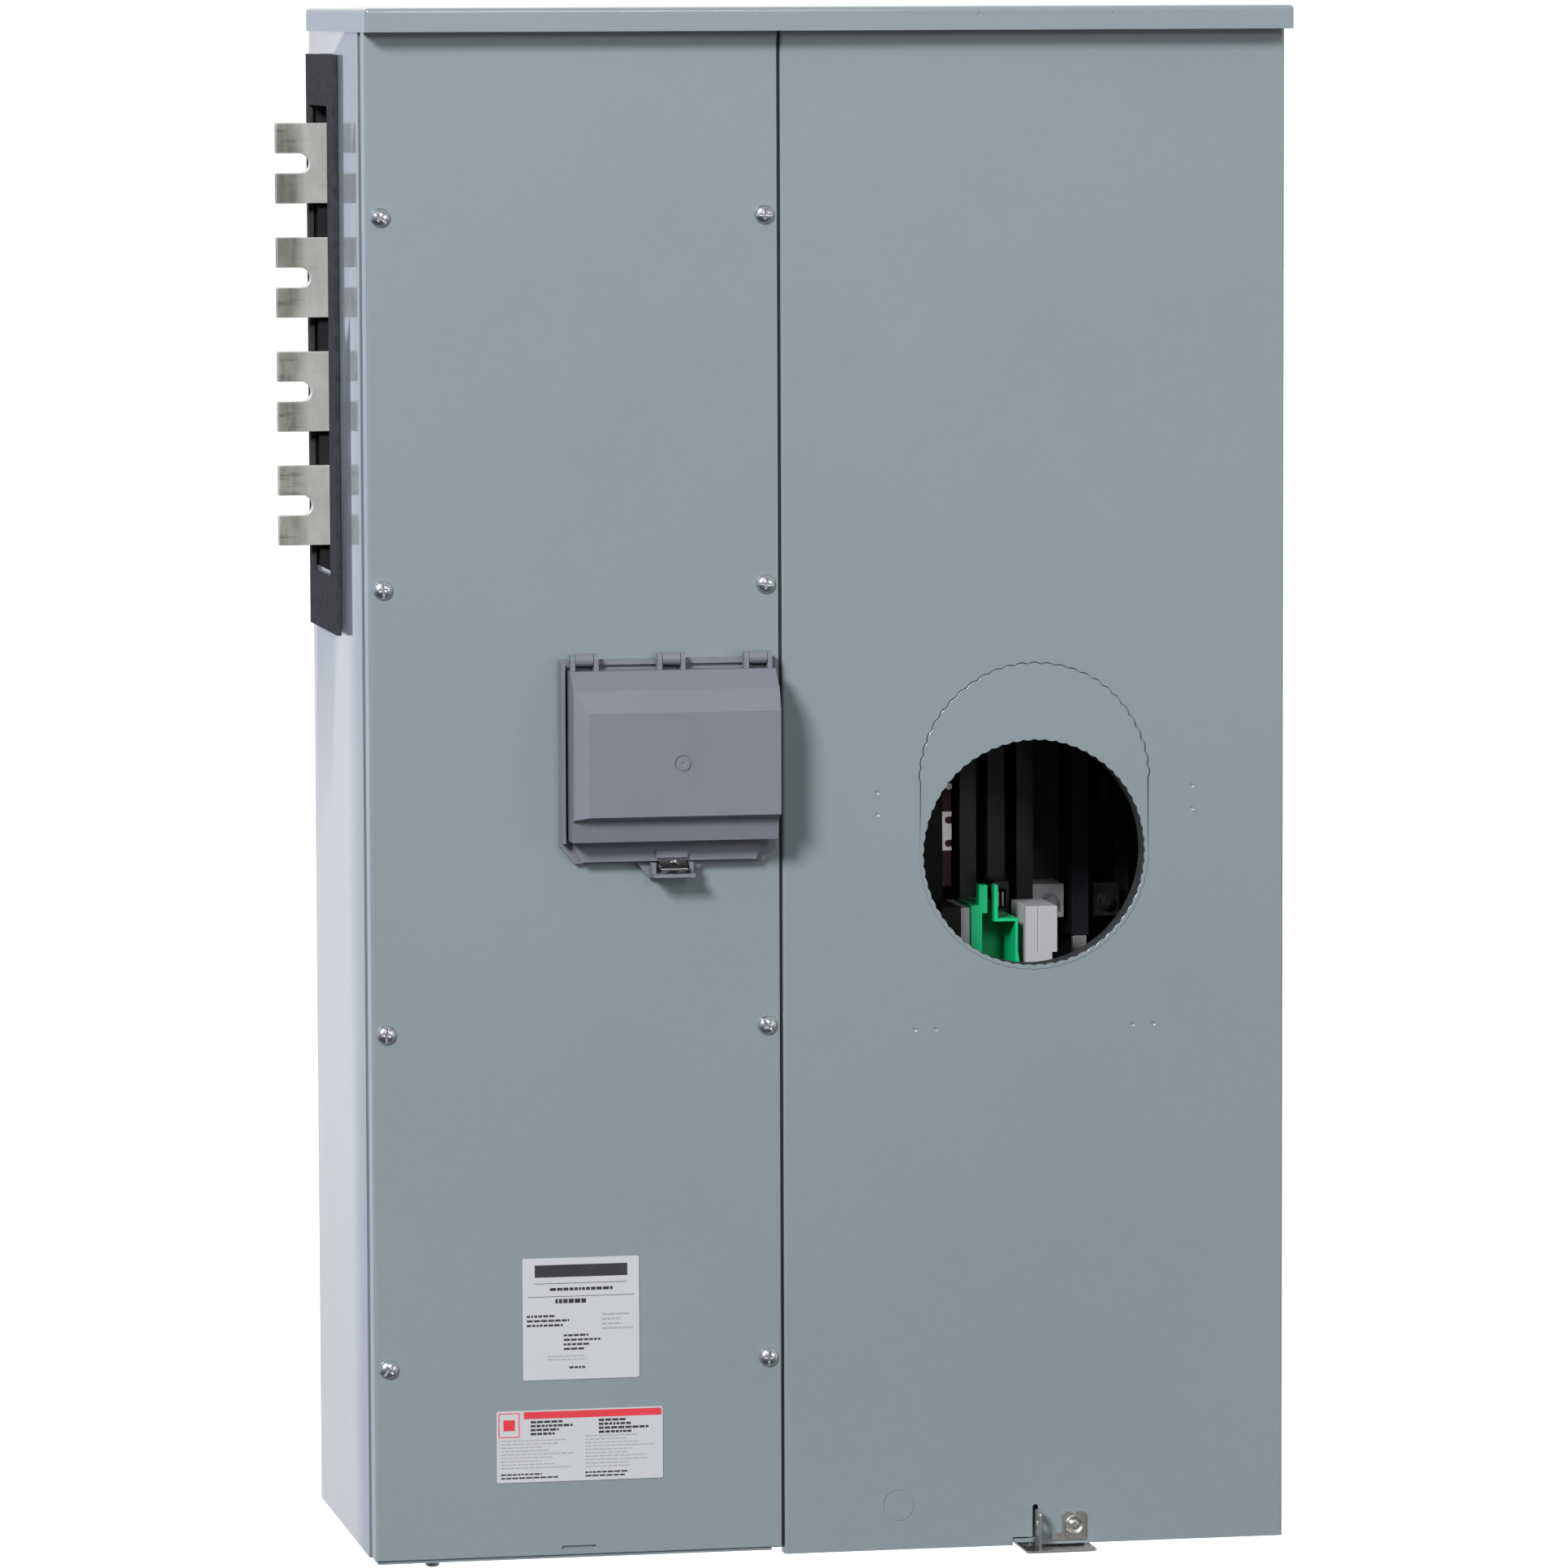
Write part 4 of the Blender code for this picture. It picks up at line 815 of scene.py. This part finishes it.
def make_flap_base():
    outline = [(137.0, 655.0), (137.0, 520.0), (147.5, 507.5), (286.0, 507.5), (295.0, 516.0), (295.0, 655.0)]
    lobe = [(190.0, 511.0), (202.0, 496.0), (233.0, 496.0), (245.0, 511.0)]
    window_x, window_z = (152.0, 282.0), (529.0, 640.0)
    lug_y, lug_z = (-18.0, -5.0), (498.0, 508.0)
    base = plate("flap_base_frame", "y", outline, (-6.0, -GAP))
    cut(base, box("base_window", window_x, (-10.0, 5.0), window_z))
    join(
        base,
        plate("lug_lobe", "y", lobe, (-5.9, -GAP - 0.1)),
        box("left_rib", (137.3, 139.8), (-16.0, -5.0), (523.0, 653.0)),
        box("lug_left", (202.0, 205.2), lug_y, lug_z),
        box("lug_right", (229.5, 232.5), lug_y, lug_z),
        box("lug_floor", (202.1, 232.4), (-26.0, -5.0), (497.9, 500.4)),
    )
    cut(base, cylinder("lug_hole", "z", (PADLOCK_X, PADLOCK_Y, 499.0), PADLOCK_RADIUS, 10.0, 32),
        box("top_groove", (144.0, 289.0), (-8.0, -2.5), (648.9, 650.9)))
    for i, x in enumerate(KNUCKLES):
        knuckle = arc((HINGE_Y, HINGE_Z), 4.6, 270, 75, 20) + [(-5.0, 656.5), (-5.0, 651.0)]
        join(base, plate(f"knuckle_{i}", "x", knuckle, (x - KNUCKLE_HALF, x + KNUCKLE_HALF)),
             cylinder(f"stub_{i}", "x", (x, HINGE_Y, HINGE_Z), PIN_RADIUS, 2 * EAR[1] + 1.0, 24))
    ready(base, "grey_plastic", "enclosure", "grey_plastic", "flap_base", width=0.4, angle=30.0)


# ---- inside the meter opening

def make_green_barrier():
    """An open-backed green moulding with two prongs on its left half."""
    outline = [(458.0, BLOCK_FOOT), (497.0, BLOCK_FOOT), (493.6, 427.0), (493.6, 451.0), (478.5, 451.0),
               (478.5, 476.0), (464.0, 476.0), (464.0, 461.0), (458.0, 461.0)]
    hollow = [(466.5, 380.0), (491.5, 380.0), (491.5, 448.6), (475.6, 448.6), (475.6, 480.0), (470.5, 480.0),
              (470.5, 455.0), (466.5, 455.0)]
    green = plate("green_barrier_shell", "y", outline, (80.0, 130.0))
    cut(green, plate("green_hollow", "y", hollow, (70.0, 126.0)))
    cut(green, box("prong_back", (455.0, 480.0), (91.0, 131.0), (461.8, 480.0)))
    ready(green, "green_plastic", "enclosure", "green_plastic", "green_barrier", width=0.5)


def make_blocks():
    """The two light grey blocks beside the barrier, and the black terminal block behind them."""
    left = box("grey_block_left_shell", (436.0, 457.7), (82.0, 140.0), (BLOCK_FOOT, BLOCK_TOP))
    ready(left, "light_plastic", "enclosure", "light_plastic", "grey_block_left", width=0.8)
    # The block's cover is near-black: painted shade.
    cover = box("block_cover", (435.6, 450.9), (81.2, 140.5), (BLOCK_FOOT, BLOCK_TOP + 0.7))
    ready(cover, "shade_black", "enclosure", "black_plastic", width=0.8)
    right = box("grey_block_right_shell", (499.4, 523.3), (80.0, 130.0), (BLOCK_FOOT, BLOCK_TOP))
    cut(right, box("block_step", (519.5, 530.0), (70.0, 140.0), (400.0, 425.0)),
        box("block_groove", (508.5, 509.5), (70.0, 80.8), (425.0, 470.0)))
    ready(right, "light_plastic", "enclosure", "light_plastic", "grey_block_right", width=0.8)
    terminal = box("terminal_shell", (488.0, 500.0), (140.3, 180.0), (BLOCK_FOOT, 472.5))
    cut(terminal, box("terminal_window", (490.6, 497.4), (135.0, 150.0), (452.0, 466.0)))
    ready(terminal, "black_plastic", "enclosure", "black_plastic", "test_terminal_block", width=0.5)
    for i, x in enumerate((491.4, 494.9)):
        contact = box(f"terminal_contact_{i + 1}", (x, x + 1.7), (143.0, 149.0), (453.0, 464.0))
        ready(contact, "steel", "enclosure", "tin", width=0.3)


def make_risers():
    """Three sleeved bars that drop from the cross bus, each with its line pad and bolt."""
    half = RISER_WIDTH / 2
    pad_width, pad_y, pad_z = 26.0, (200.0, RISER_Y[1]), (437.5, 463.0)
    bolt_z, bolt_shift = 449.0, 2.0
    washer = [(0.0, 199.6), (7.2, 199.6), (7.25, 199.2), (7.1, 198.4), (4.2, 198.2), (0.0, 198.2)]
    for i, x in enumerate(RISER_X):
        riser = box(f"riser_sleeve_{i + 1}", (x - half, x + half), RISER_Y, (RISER_BOTTOM, bar_z(i) + 20.0))
        join(riser, box(f"riser_foot_{i + 1}", (x - half + 0.2, x + half - 0.2),
                        (RISER_Y[0] + 10.0, BAR_Y - GAP), (bar_z(i) - 18.0, bar_z(i) + 18.0)))
        ready(riser, "sleeve", "enclosure", "sleeve", f"riser_{i + 1}", width=1.2, segments=3)
        pad_x = (x + half + GAP, x + half + GAP + pad_width)
        pad = box(f"line_pad_plate_{i + 1}", pad_x, pad_y, pad_z)
        pad_look, bolt_look = ("pad_plate", "light_plastic") if i == 1 else ("black_plastic", "black_plastic")
        ready(pad, pad_look, "enclosure", "tin", f"line_pad_{i + 1}", width=1.0, segments=3)
        centre_x = sum(pad_x) / 2 + bolt_shift
        bolt = turned(f"line_bolt_head_{i + 1}", (centre_x, 0.0, bolt_z), washer, 36)
        join(bolt, cylinder("hex", "y", (centre_x, 196.0, bolt_z), 5.6, 5.0, 6))
        join(bolt, cylinder("stud", "y", (centre_x, 194.2, bolt_z), 3.0, 6.0, 24))
        ready(bolt, bolt_look, "enclosure", "zinc", f"line_bolt_{i + 1}", width=0.3)


def make_link():
    """The red board with its bright slotted link."""
    slot_x, slot_half, past = 466.8, 2.3, 475.0
    board = box("link_board_plate", (430.0, 470.0), (205.0, RISER_Y[1]), (462.0, 540.0))
    ready(board, "red_board", "enclosure", "red_board", "link_board", width=0.8)
    link = box("link_bar_plate", (452.0, 469.5), (201.7, 204.7), (489.5, 519.5))
    for z in (495.3, 512.8):
        slot = arc((slot_x, z), slot_half, 90, 270, 12) + [(past, z - slot_half), (past, z + slot_half)]
        cut(link, plate("link_slot", "y", slot, (200.0, 206.0)))
    ready(link, "bright_metal", "enclosure", "tin", "link_bar", width=0.4)


def make_inner_covers():
    """Dark covers and small metal ends round the risers."""
    # The link shield is near-black: painted shade.
    shield = box("link_shield", (430.5, 460.9), (195.0, 200.0), (455.0, 545.0))
    ready(shield, "shade_black", "enclosure", "black_plastic", width=0.8)
    barrier = box("riser_barrier", (496.0, 513.0), (206.0, 212.0), (464.0, 690.0))
    ready(barrier, "sleeve", "enclosure", "sleeve", width=2.5, segments=4)
    bare_end = box("riser_bare_end", (RISER_X[2] - 5.2, RISER_X[2] + 5.2), (191.0, 197.0), (408.0, 425.4))
    ready(bare_end, "tin", "enclosure", "tin", width=0.6)
    stud = cylinder("link_stud", "y", (466.5, 203.0, 538.5), 3.0, 8.0, 24)
    ready(stud, "steel", "enclosure", "tin", width=0.5)
    patch = box("right_board", (588.0, 597.5), (226.0, 232.0), (520.0, 541.0))
    ready(patch, "red_board", "enclosure", "red_board", width=0.8)


# ---- labels

LABEL_LOOKS = ("label", "label_ink", "label_line", "label_red")
INK, LINE, RED = 1, 2, 3
FILM_Y, PRINT_Y = (-0.66, -GAP), (-0.70, -0.60)


def slab(bm, x, z, index):
    """A thin raised panel on a label, with its own material."""
    verts = [bm.verts.new(world(a, b, c)) for b in reversed(PRINT_Y) for a, c in
             ((x[0], z[0]), (x[1], z[0]), (x[1], z[1]), (x[0], z[1]))]
    faces = [(4, 5, 6, 7), (0, 1, 5, 4), (1, 2, 6, 5), (2, 3, 7, 6), (3, 0, 4, 7), (3, 2, 1, 0)]
    for corners in faces:
        bm.faces.new([verts[k] for k in corners]).material_index = index


def rounded(x, z, radius):
    outline = []
    for cx, cz, start in ((x[1] - radius, z[1] - radius, 0), (x[0] + radius, z[1] - radius, 90),
                          (x[0] + radius, z[0] + radius, 180), (x[1] - radius, z[0] + radius, 270)):
        outline += arc((cx, cz), radius, start, start + 90, 5)
    return outline


def label(name, node, corner, size, bars):
    """A film with printed blocks and rules; the print carries no lettering."""
    x, z = (corner[0], corner[0] + size[0]), (corner[1], corner[1] + size[1])
    film_piece = plate(name, "y", rounded(x, z, 1.2), FILM_Y)
    bm = bmesh.new()
    bm.from_mesh(film_piece.data)
    for (left, right), (low, high), index in bars:
        slab(bm, (x[0] + left, x[0] + right), (z[0] + low, z[0] + high), index)
    bm.to_mesh(film_piece.data)
    bm.free()
    for look in LABEL_LOOKS:
        film_piece.data.materials.append(LOOKS[look])
    ready(film_piece, "label", "enclosure", "label", node, width=0.0)


def rules(across, up, pitch, thickness, seed, index):
    """Rows of short dashes with a ragged right edge, as print looks from far away."""
    (left, right), (low, high) = across, up
    shortest, spread, gap, ragged, last = 1.6, 3.0, 0.7, 0.45, 0.8
    bars = []
    level = high
    row = 0
    while level - thickness > low:
        x = left
        limit = right - (right - left) * ragged * abs(math.sin(seed + row * 2.3))
        dash = 0
        while x < limit - last:
            length = shortest + spread * abs(math.sin(seed * 3.1 + row * 1.7 + dash * 2.9))
            bars.append(((x, min(x + length, limit)), (level - thickness, level), index))
            x += length + gap
            dash += 1
        level -= pitch
        row += 1
    return bars


def make_rating_label():
    wide, tall, margin, inset = 85.6, 89.0, 9.0, 4.0
    bars = [((margin, 77.0), (75.0, 84.0), INK), ((margin, wide - margin), (70.2, 70.6), INK),
            ((inset, wide - inset), (60.6, 61.0), INK)]
    blocks = (
        ((20.0, 76.0), (63.0, 67.2), 4.0, 2.2, 0.4, INK),
        ((24.0, 62.0), (54.0, 59.0), 5.0, 3.2, 2.0, INK),
        ((3.0, 38.0), (36.0, 47.5), 3.4, 1.6, 1.1, INK),
        ((58.0, 83.0), (36.0, 47.5), 3.4, 1.2, 2.7, LINE),
        ((30.0, 58.0), (19.0, 33.0), 3.3, 1.5, 0.9, INK),
        ((18.0, 66.0), (12.5, 17.5), 2.4, 0.8, 1.9, LINE),
        ((34.0, 54.0), (6.5, 9.5), 3.0, 1.6, 2.2, INK),
    )
    for block_of_print in blocks:
        bars += rules(*block_of_print)
    label("rating_label_film", "rating_label", (108.4, 131.5), (wide, tall), bars)


def make_warning_label():
    wide, tall, line = 122.3, 52.5, 0.7
    left, right, low, high = 1.5, 17.0, 33.0, 51.0
    bars = [((20.0, wide - 1.0), (46.3, 51.5), RED), ((5.0, 13.5), (38.0, 46.0), RED)]
    bars += [((left, right), (low, low + line), RED), ((left, right), (high - line, high), RED)]
    bars += [((left, left + line), (low + 0.8, high - 0.8), RED),
             ((right - line, right), (low + 0.8, high - 0.8), RED)]
    blocks = (
        ((25.0, 58.0), (34.0, 44.8), 2.9, 1.7, 0.7, INK),
        ((75.0, 112.0), (34.0, 44.8), 2.9, 1.7, 1.7, INK),
        ((3.0, 58.0), (8.0, 31.0), 2.5, 0.8, 0.3, LINE),
        ((65.0, 120.0), (8.0, 33.0), 2.5, 0.8, 2.4, LINE),
        ((3.0, 56.0), (2.0, 6.5), 2.6, 1.2, 1.3, INK),
        ((65.0, 116.0), (2.0, 6.5), 2.6, 1.2, 2.1, INK),
    )
    for block_of_print in blocks:
        bars += rules(*block_of_print)
    label("warning_label_film", "warning_label", (88.7, 57.0), (wide, tall), bars)


make_left_cover()
make_seam_strip()
make_meter_cover()
make_meter_insert()
make_meter_foam()
make_rain_cap()
make_screws()
make_bottom_screw()
make_staple()
make_seal()
make_bus()
make_gasket()
make_flap()
make_hasp()
make_flap_base()
make_green_barrier()
make_blocks()
make_risers()
make_link()
make_inner_covers()
make_rating_label()
make_warning_label()

# ---- carried-over parts

CARRIED = {
    "enclosure_body": ("paint", 0.0), "centre_divider": ("paint", 0.25), "insert_retainer": ("paint", 0.25),
    # The bus pad is near-black: painted shade.
    "bus_closing_plate": ("paint", 0.3), "bus_pad": ("shade_black", 0.8),
    "bus_support_left": ("black_plastic", 0.6), "bus_support_right": ("black_plastic", 0.6),
    "breaker_body": ("black_plastic", 0.8), "breaker_handle": ("black_plastic", 0.8),
    "breaker_plate": ("steel", 0.3), "meter_base_board": ("black_plastic", 0.8),
    "socket_block": ("black_plastic", 1.0), "load_strap_1": ("tin", 0.5), "load_strap_2": ("tin", 0.5),
    "load_strap_3": ("tin", 0.5), "neutral_strap": ("sleeve", 0.5), "earth_lug": ("tin", 0.6),
}
for node_name, (look_name, width) in CARRIED.items():
    node = frame["nodes"][node_name]
    node.data.materials.clear()
    node.data.materials.append(LOOKS[look_name])
    node.data.set_sharp_from_angle(angle=math.radians(35.0))
    soften(node, width)

for tool in list(WORK.objects):
    bpy.data.objects.remove(tool, do_unlink=True)
bpy.data.collections.remove(WORK)

# ---- studio

scene = bpy.context.scene
scene.view_settings.view_transform = "Standard"
scene.view_settings.look = "None"

CAMERA_PLACE, LENS = (-1.2018, -6.3750, 0.5694), 197.3
YAW, TILT, ROLL = math.radians(-10.855), math.radians(90.0 - 5.246), math.radians(-0.209)
camera_data = bpy.data.cameras.new("camera")
camera_data.sensor_width = 36.0
camera_data.lens = LENS
camera_data.clip_end = 100.0
camera = bpy.data.objects.new("camera", camera_data)
scene.collection.objects.link(camera)
camera.matrix_world = (
    Matrix.Translation(CAMERA_PLACE)
    @ Matrix.Rotation(YAW, 4, "Z")
    @ Matrix.Rotation(TILT, 4, "X")
    @ Matrix.Rotation(ROLL, 4, "Z")
)
scene.camera = camera


def make_floor():
    """A big pale floor that glows a little, so that it shows as white as the backdrop."""
    drop, half_size, glow = 0.95, 40.0, 0.6
    mesh = bpy.data.meshes.new("floor")
    bm = bmesh.new()
    bmesh.ops.create_grid(bm, x_segments=1, y_segments=1, size=half_size)
    bm.to_mesh(mesh)
    bm.free()
    floor = bpy.data.objects.new("floor", mesh)
    floor.location = (0.0, 0.0, -drop)
    scene.collection.objects.link(floor)
    look = Look("floor", roughness=0.9, specular=0.1)
    mesh.materials.append(look.done(look.mix((0.90, 0.90, 0.90), (0.93, 0.93, 0.93), look.noise(3.0))))
    look.shader.inputs["Emission Color"].default_value = (1.0, 1.0, 1.0, 1.0)
    look.shader.inputs["Emission Strength"].default_value = glow
    floor.visible_diffuse = False
    floor.visible_glossy = False


def make_sky():
    """A white studio: dimmer behind the camera and below, lilac on the left where the side wall looks."""
    studio = bpy.data.worlds.new("studio")
    scene.world = studio
    studio.use_nodes = True
    sky = studio.node_tree
    background = sky.nodes["Background"]
    where = sky.nodes.new("ShaderNodeTexCoord")
    split = sky.nodes.new("ShaderNodeSeparateXYZ")
    sky.links.new(where.outputs["Generated"], split.inputs[0])

    def graded(direction, start, end, at_start, at_end):
        node = sky.nodes.new("ShaderNodeMapRange")
        node.inputs["From Min"].default_value = start
        node.inputs["From Max"].default_value = end
        node.inputs["To Min"].default_value = at_start
        node.inputs["To Max"].default_value = at_end
        sky.links.new(split.outputs[direction], node.inputs["Value"])
        return node.outputs["Result"]

    strength = sky.nodes.new("ShaderNodeMath")
    strength.operation = "MULTIPLY"
    sky.links.new(graded("Y", -0.7, 0.6, 0.28, 1.0), strength.inputs[0])
    sky.links.new(graded("Z", -0.5, -0.12, 0.25, 1.0), strength.inputs[1])
    sky.links.new(strength.outputs[0], background.inputs["Strength"])
    tint = sky.nodes.new("ShaderNodeMix")
    tint.data_type = "RGBA"
    tint.inputs[6].default_value = (0.64, 0.66, 0.80, 1.0)
    tint.inputs[7].default_value = (1.0, 1.0, 1.0, 1.0)
    sky.links.new(graded("X", -0.12, 0.02, 0.0, 1.0), tint.inputs[0])
    sky.links.new(tint.outputs[2], background.inputs["Color"])


LIT_POINT = Vector((0.0, -0.3, 0.0))


def area_light(name, place, size, power):
    data = bpy.data.lights.new(name, "AREA")
    data.shape = "DISK"
    data.size = size
    data.energy = power
    light = bpy.data.objects.new(name, data)
    light.location = place
    light.rotation_euler = (LIT_POINT - Vector(place)).to_track_quat("-Z", "Y").to_euler()
    scene.collection.objects.link(light)


make_floor()
make_sky()
area_light("key", (-7.4, -10.5, 6.8), 3.4, 2450.0)
area_light("front", (0.7, -5.8, 1.7), 1.0, 45.0)
area_light("fill", (4.5, -6.0, 0.6), 2.5, 46.0)
